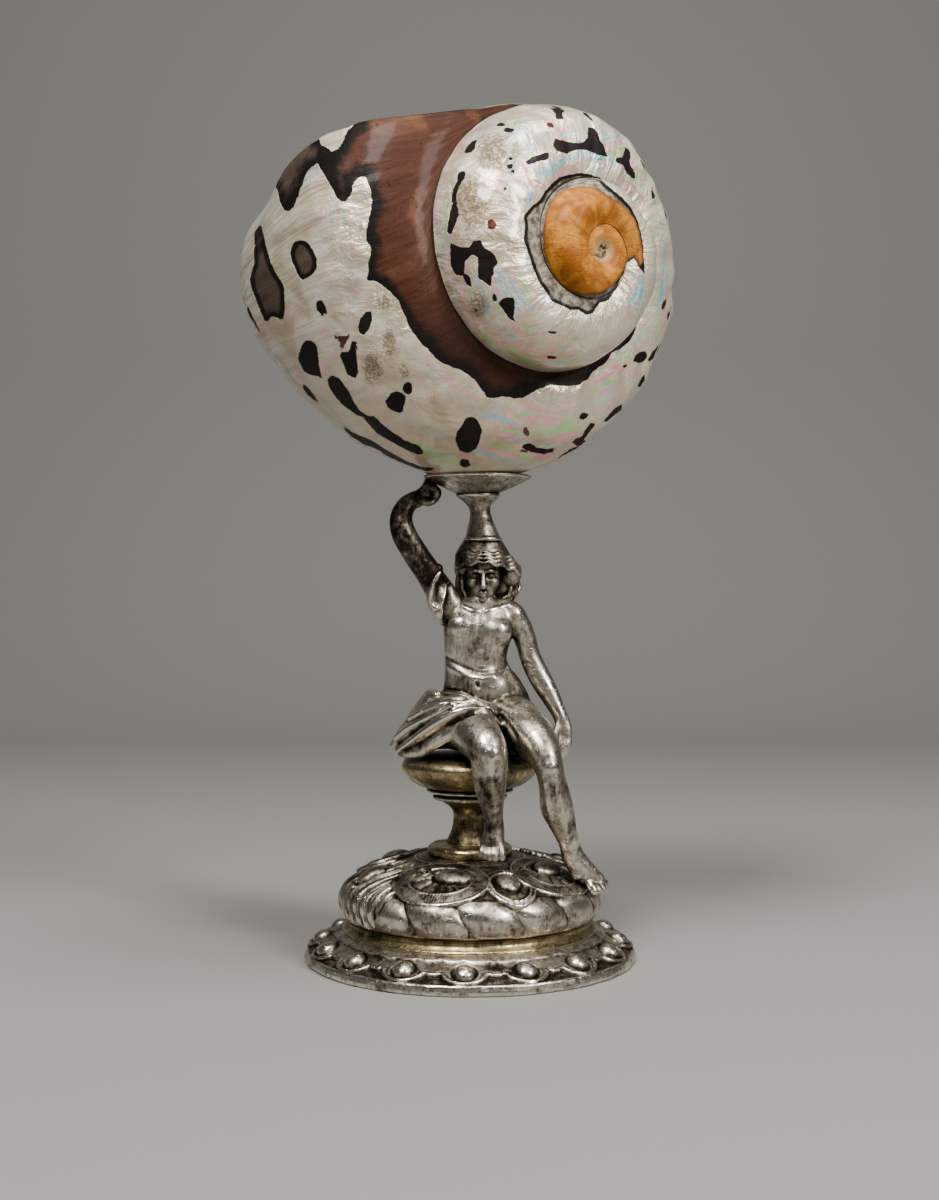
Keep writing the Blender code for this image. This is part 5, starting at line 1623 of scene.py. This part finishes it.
def domeRelief(theta, reach, height):
    lean = foot["lobeLean"] * np.clip((height - 12) / 5.5, 0, 1)
    share = (theta - foot["lobeStart"] + lean) * foot["lobes"] / 360
    pillow = np.abs(np.sin(math.pi * share)) ** 0.5
    lobe = 1.25 * pillow - 0.85 + 0.4 * np.sin(math.pi * np.clip((height - 10) / 7.5, 0, 1))
    zone = smoothStep(reach, foot["lobeReach"] - 0.5, foot["lobeReach"] + 0.5)
    relief = lobe * zone - 0.3 * (1 - zone)
    relief += 0.35 * ridge(reach, 13.4, 0.35) + 0.25 * ridge(reach, 12.2, 0.3)
    side, out = aroundFoot(theta, reach, foot["leaf"]["at"], 2)
    relief = leafSpray(relief, side, out - foot["leaf"]["reach"], foot["leaf"])
    side, out = aroundFoot(theta, reach, foot["drop"]["at"], 2)
    relief = strapFrame(relief, side, out - foot["drop"]["reach"], foot["drop"])
    for at in foot["cartouches"]:
        side, out = aroundFoot(theta, reach, at, 2)
        relief = strapFrame(relief, side, out - foot["cartouche"]["reach"], foot["cartouche"])
    return relief


def flangeRelief(theta, radius):
    side, out = aroundFoot(theta, radius, foot["firstBoss"], foot["bosses"])
    out = out - foot["bossRing"]
    loop = (1 - np.hypot(side / foot["loopHalf"][0], out / foot["loopHalf"][1])) * min(foot["loopHalf"])
    step = 0.35 * smoothStep(np.abs(side), 5.4, 6.2)
    inside = np.maximum(loop, foot["connector"] + step - radius)
    relief = 0.65 * smoothStep(inside, -0.12, 0.12) + 0.24 * ridge(inside, 0.36, 0.2)
    relief = relief - 0.12 * ridge(inside, 0.8, 0.25) - 0.25
    beads = 0.045 * np.sin(np.arctan2(out, side) * 46)
    relief += beads * smoothStep(loop, 0.1, 0.4) * smoothStep(out, -0.5, 0.3)
    relief += 0.55 * ridge(radius, 38.7, 0.5)
    scallop = 0.32 * np.abs(np.sin(np.radians(theta) * 19 + 0.6)) + 0.2 * np.sin(np.radians(theta) * 7)
    relief += 0.32 * smoothStep(foot["apron"] + scallop - radius, -0.1, 0.12)
    boss, far = domedBoss(side, out, (0, 0), foot["bossHalf"], foot["bossHigh"])
    relief = np.where(far < 1, np.maximum(boss, 0.0) + 0.15, relief - 0.45 * ridge(far, 1.12, 0.1))
    extraShadeAndTarnish = 0.3 * smoothStep(inside, 0.1, -0.1) + 0.12 * smoothStep(far, 1.0, 1.05)
    return relief * smoothStep(radius, 29.3, 30.0), extraShadeAndTarnish * smoothStep(radius, 38.5, 38.0)


def spunMesh(name, outline, sides, footX=0.0, headX=None):
    shape = bmesh.new()
    turnedOutline(shape, outline, sides)
    low, high = outline[0][1], outline[-1][1]
    headX = footX if headX is None else headX
    for vert in shape.verts:
        vert.co.x += footX + (headX - footX) * (vert.co.z - low) / (high - low)
    mesh = finishMesh(shape, name)
    mesh.set_sharp_from_angle(angle=math.radians(62))
    return mesh


def chaseFoot():
    outline = evenLine(smoothLine(foot["dome"], 6), foot["domeGrain"])
    mesh = spunMesh("chasedDome", outline, foot["domeSides"])
    places, normals = surfaceOf(mesh)
    theta = np.degrees(np.arctan2(places[:, 0], -places[:, 1]))
    start = outline[:, 1].searchsorted(10.1)
    gone = np.concatenate([[0], np.cumsum(np.linalg.norm(np.diff(outline[start:], axis=0), axis=1))])
    reach = foot["domeReach"] - np.interp(places[:, 2], outline[start:, 1], gone)
    relief = domeRelief(theta, reach, places[:, 2])
    relief += foot["hammer"] * np.array([noise.noise(Vector(place) / 2.2) for place in places])
    relief *= smoothStep(places[:, 2], 10.0, 10.8) * smoothStep(places[:, 2], 24.1, 23.9)
    liftSurface(mesh, places, normals, relief)
    dressMetal(mesh, "foot_dome", fine=4, broad=30, reach=5.0, extraShadeAndTarnish=0.3 * smoothStep(reach, 32, 29))
    addPiece("chasedDome", mesh, footSilver, "foot_dome")

    mesh = spunMesh("bossedFlange", evenLine(smoothLine(foot["flange"], 6), foot["flangeGrain"]),
                    foot["flangeSides"])
    places, normals = surfaceOf(mesh)
    theta = np.degrees(np.arctan2(places[:, 0], -places[:, 1]))
    radius = np.hypot(places[:, 0], places[:, 1])
    relief, extraShadeAndTarnish = flangeRelief(theta, radius)
    relief = relief * smoothStep(places[:, 2], 1.2, 2.2)
    relief += foot["hammer"] * np.array([noise.noise(Vector(place) / 2.0)
                                         for place in places]) * (places[:, 2] > 0.3)
    wavy = np.array([noise.noise(Vector((place[0], place[1], 3.0)) / 4.5) for place in places])
    inwards = -0.35 * np.maximum(wavy, -0.4) * smoothStep(radius, 37.6, 38.8)
    flat = np.stack([places[:, 0] / radius, places[:, 1] / radius, np.zeros(len(radius))], 1)
    placeVertices(mesh, (places + normals * relief[:, None] + flat * inwards[:, None]) * mm)
    dressMetal(mesh, "foot_flange", fine=4, broad=30, reach=5.0, extraShadeAndTarnish=extraShadeAndTarnish)
    addPiece("bossedFlange", mesh, footSilver, "foot_flange")


turned = {  # piece: node, material, (radius, height) from bottom to top, x at the foot, x at the head
    "gildedRing": ("foot_ring", paleGilt, ((28.2, 6.4), (29.4, 6.4), (30.0, 6.8), (30.1, 7.3), (29.4, 7.9),
                                           (28.9, 8.6), (28.9, 9.3), (29.3, 9.8), (28.2, 10.0)), 0.0, 0.0),
    "stemCollar": ("stem_collar", paleGilt, ((8.6, 24.1), (9.8, 24.2), (10.05, 24.8), (10.0, 25.8),
                                             (9.6, 26.35), (9.6, 26.35), (8.9, 26.7), (7.4, 26.9),
                                             (5.6, 27.0)), 0.0, 0.0),
    "turnedStem": ("stem", wornGilt, ((5.7, 26.9), (5.3, 27.9), (4.4, 30.2), (3.95, 32.6), (4.1, 34.2),
                                      (5.0, 35.6), (6.9, 36.9), (7.2, 37.15)), 0.0, 0.0),
    "knopLowerRing": ("knop_lower_ring", plainSilver, ((7.2, 37.1), (8.5, 37.35), (8.9, 37.8), (8.8, 38.3),
                                                       (8.2, 38.6), (8.0, 38.8)), 0.0, 0.0),
    "knopUpperRing": ("knop_upper_ring", plainSilver, ((8.0, 38.75), (9.9, 39.0), (10.4, 39.4), (10.1, 39.85),
                                                       (9.6, 40.1)),
                      0.0, 0.0),
    "seatKnop": ("seat_knop", wornGilt, ((9.6, 40.05), (11.8, 40.6), (14.3, 42.0), (15.8, 43.6),
                                         (16.25, 45.2), (15.7, 46.5), (14.0, 47.4), (11.0, 47.7),
                                         (4.0, 47.8)), 0.0, 0.0),
    "turnedNeck": ("neck", plainSilver, ((4.3, 98.6), (4.55, 98.85), (4.6, 99.2), (4.35, 99.5), (4.1, 99.6),
                                         (3.9, 100.2), (3.45, 101.6), (3.0, 102.9), (2.7, 103.8),
                                         (2.72, 104.2), (2.6, 104.7), (2.42, 105.2), (2.45, 106.0),
                                         (2.75, 106.9), (3.5, 107.8), (4.5, 108.6), (5.15, 109.2),
                                         (5.2, 109.7), (4.9, 110.0)), 3.2, 1.9),
    "dish": ("dish", plainSilver, ((4.9, 109.9), (5.5, 110.1), (7.6, 111.05), (10.2, 112.3), (12.3, 113.3),
                                   (12.75, 113.55), (12.85, 113.95), (12.5, 114.2), (11.6, 113.9),
                                   (8.0, 112.1), (3.0, 111.0)), 1.8, 1.8),
}


turning = {"grain": 0.3, "sides": 168, "dentSize": 2.6, "dentDepth": 0.1}


def turnPieces():
    for name, (node, material, outline, footX, headX) in turned.items():
        mesh = spunMesh(name, evenLine(smoothLine(outline, 6), turning["grain"]), turning["sides"], footX,
                        headX)
        places, normals = surfaceOf(mesh)
        dents = np.array([noise.noise(Vector(place) / turning["dentSize"]) for place in places])
        dents *= turning["dentDepth"]
        liftSurface(mesh, places, normals, dents)
        dressMetal(mesh, node, fine=3, broad=16, reach=12.0)
        addPiece(name, mesh, material, node)


chaseFoot()
turnPieces()
print("The foot is chased and the stem turned")
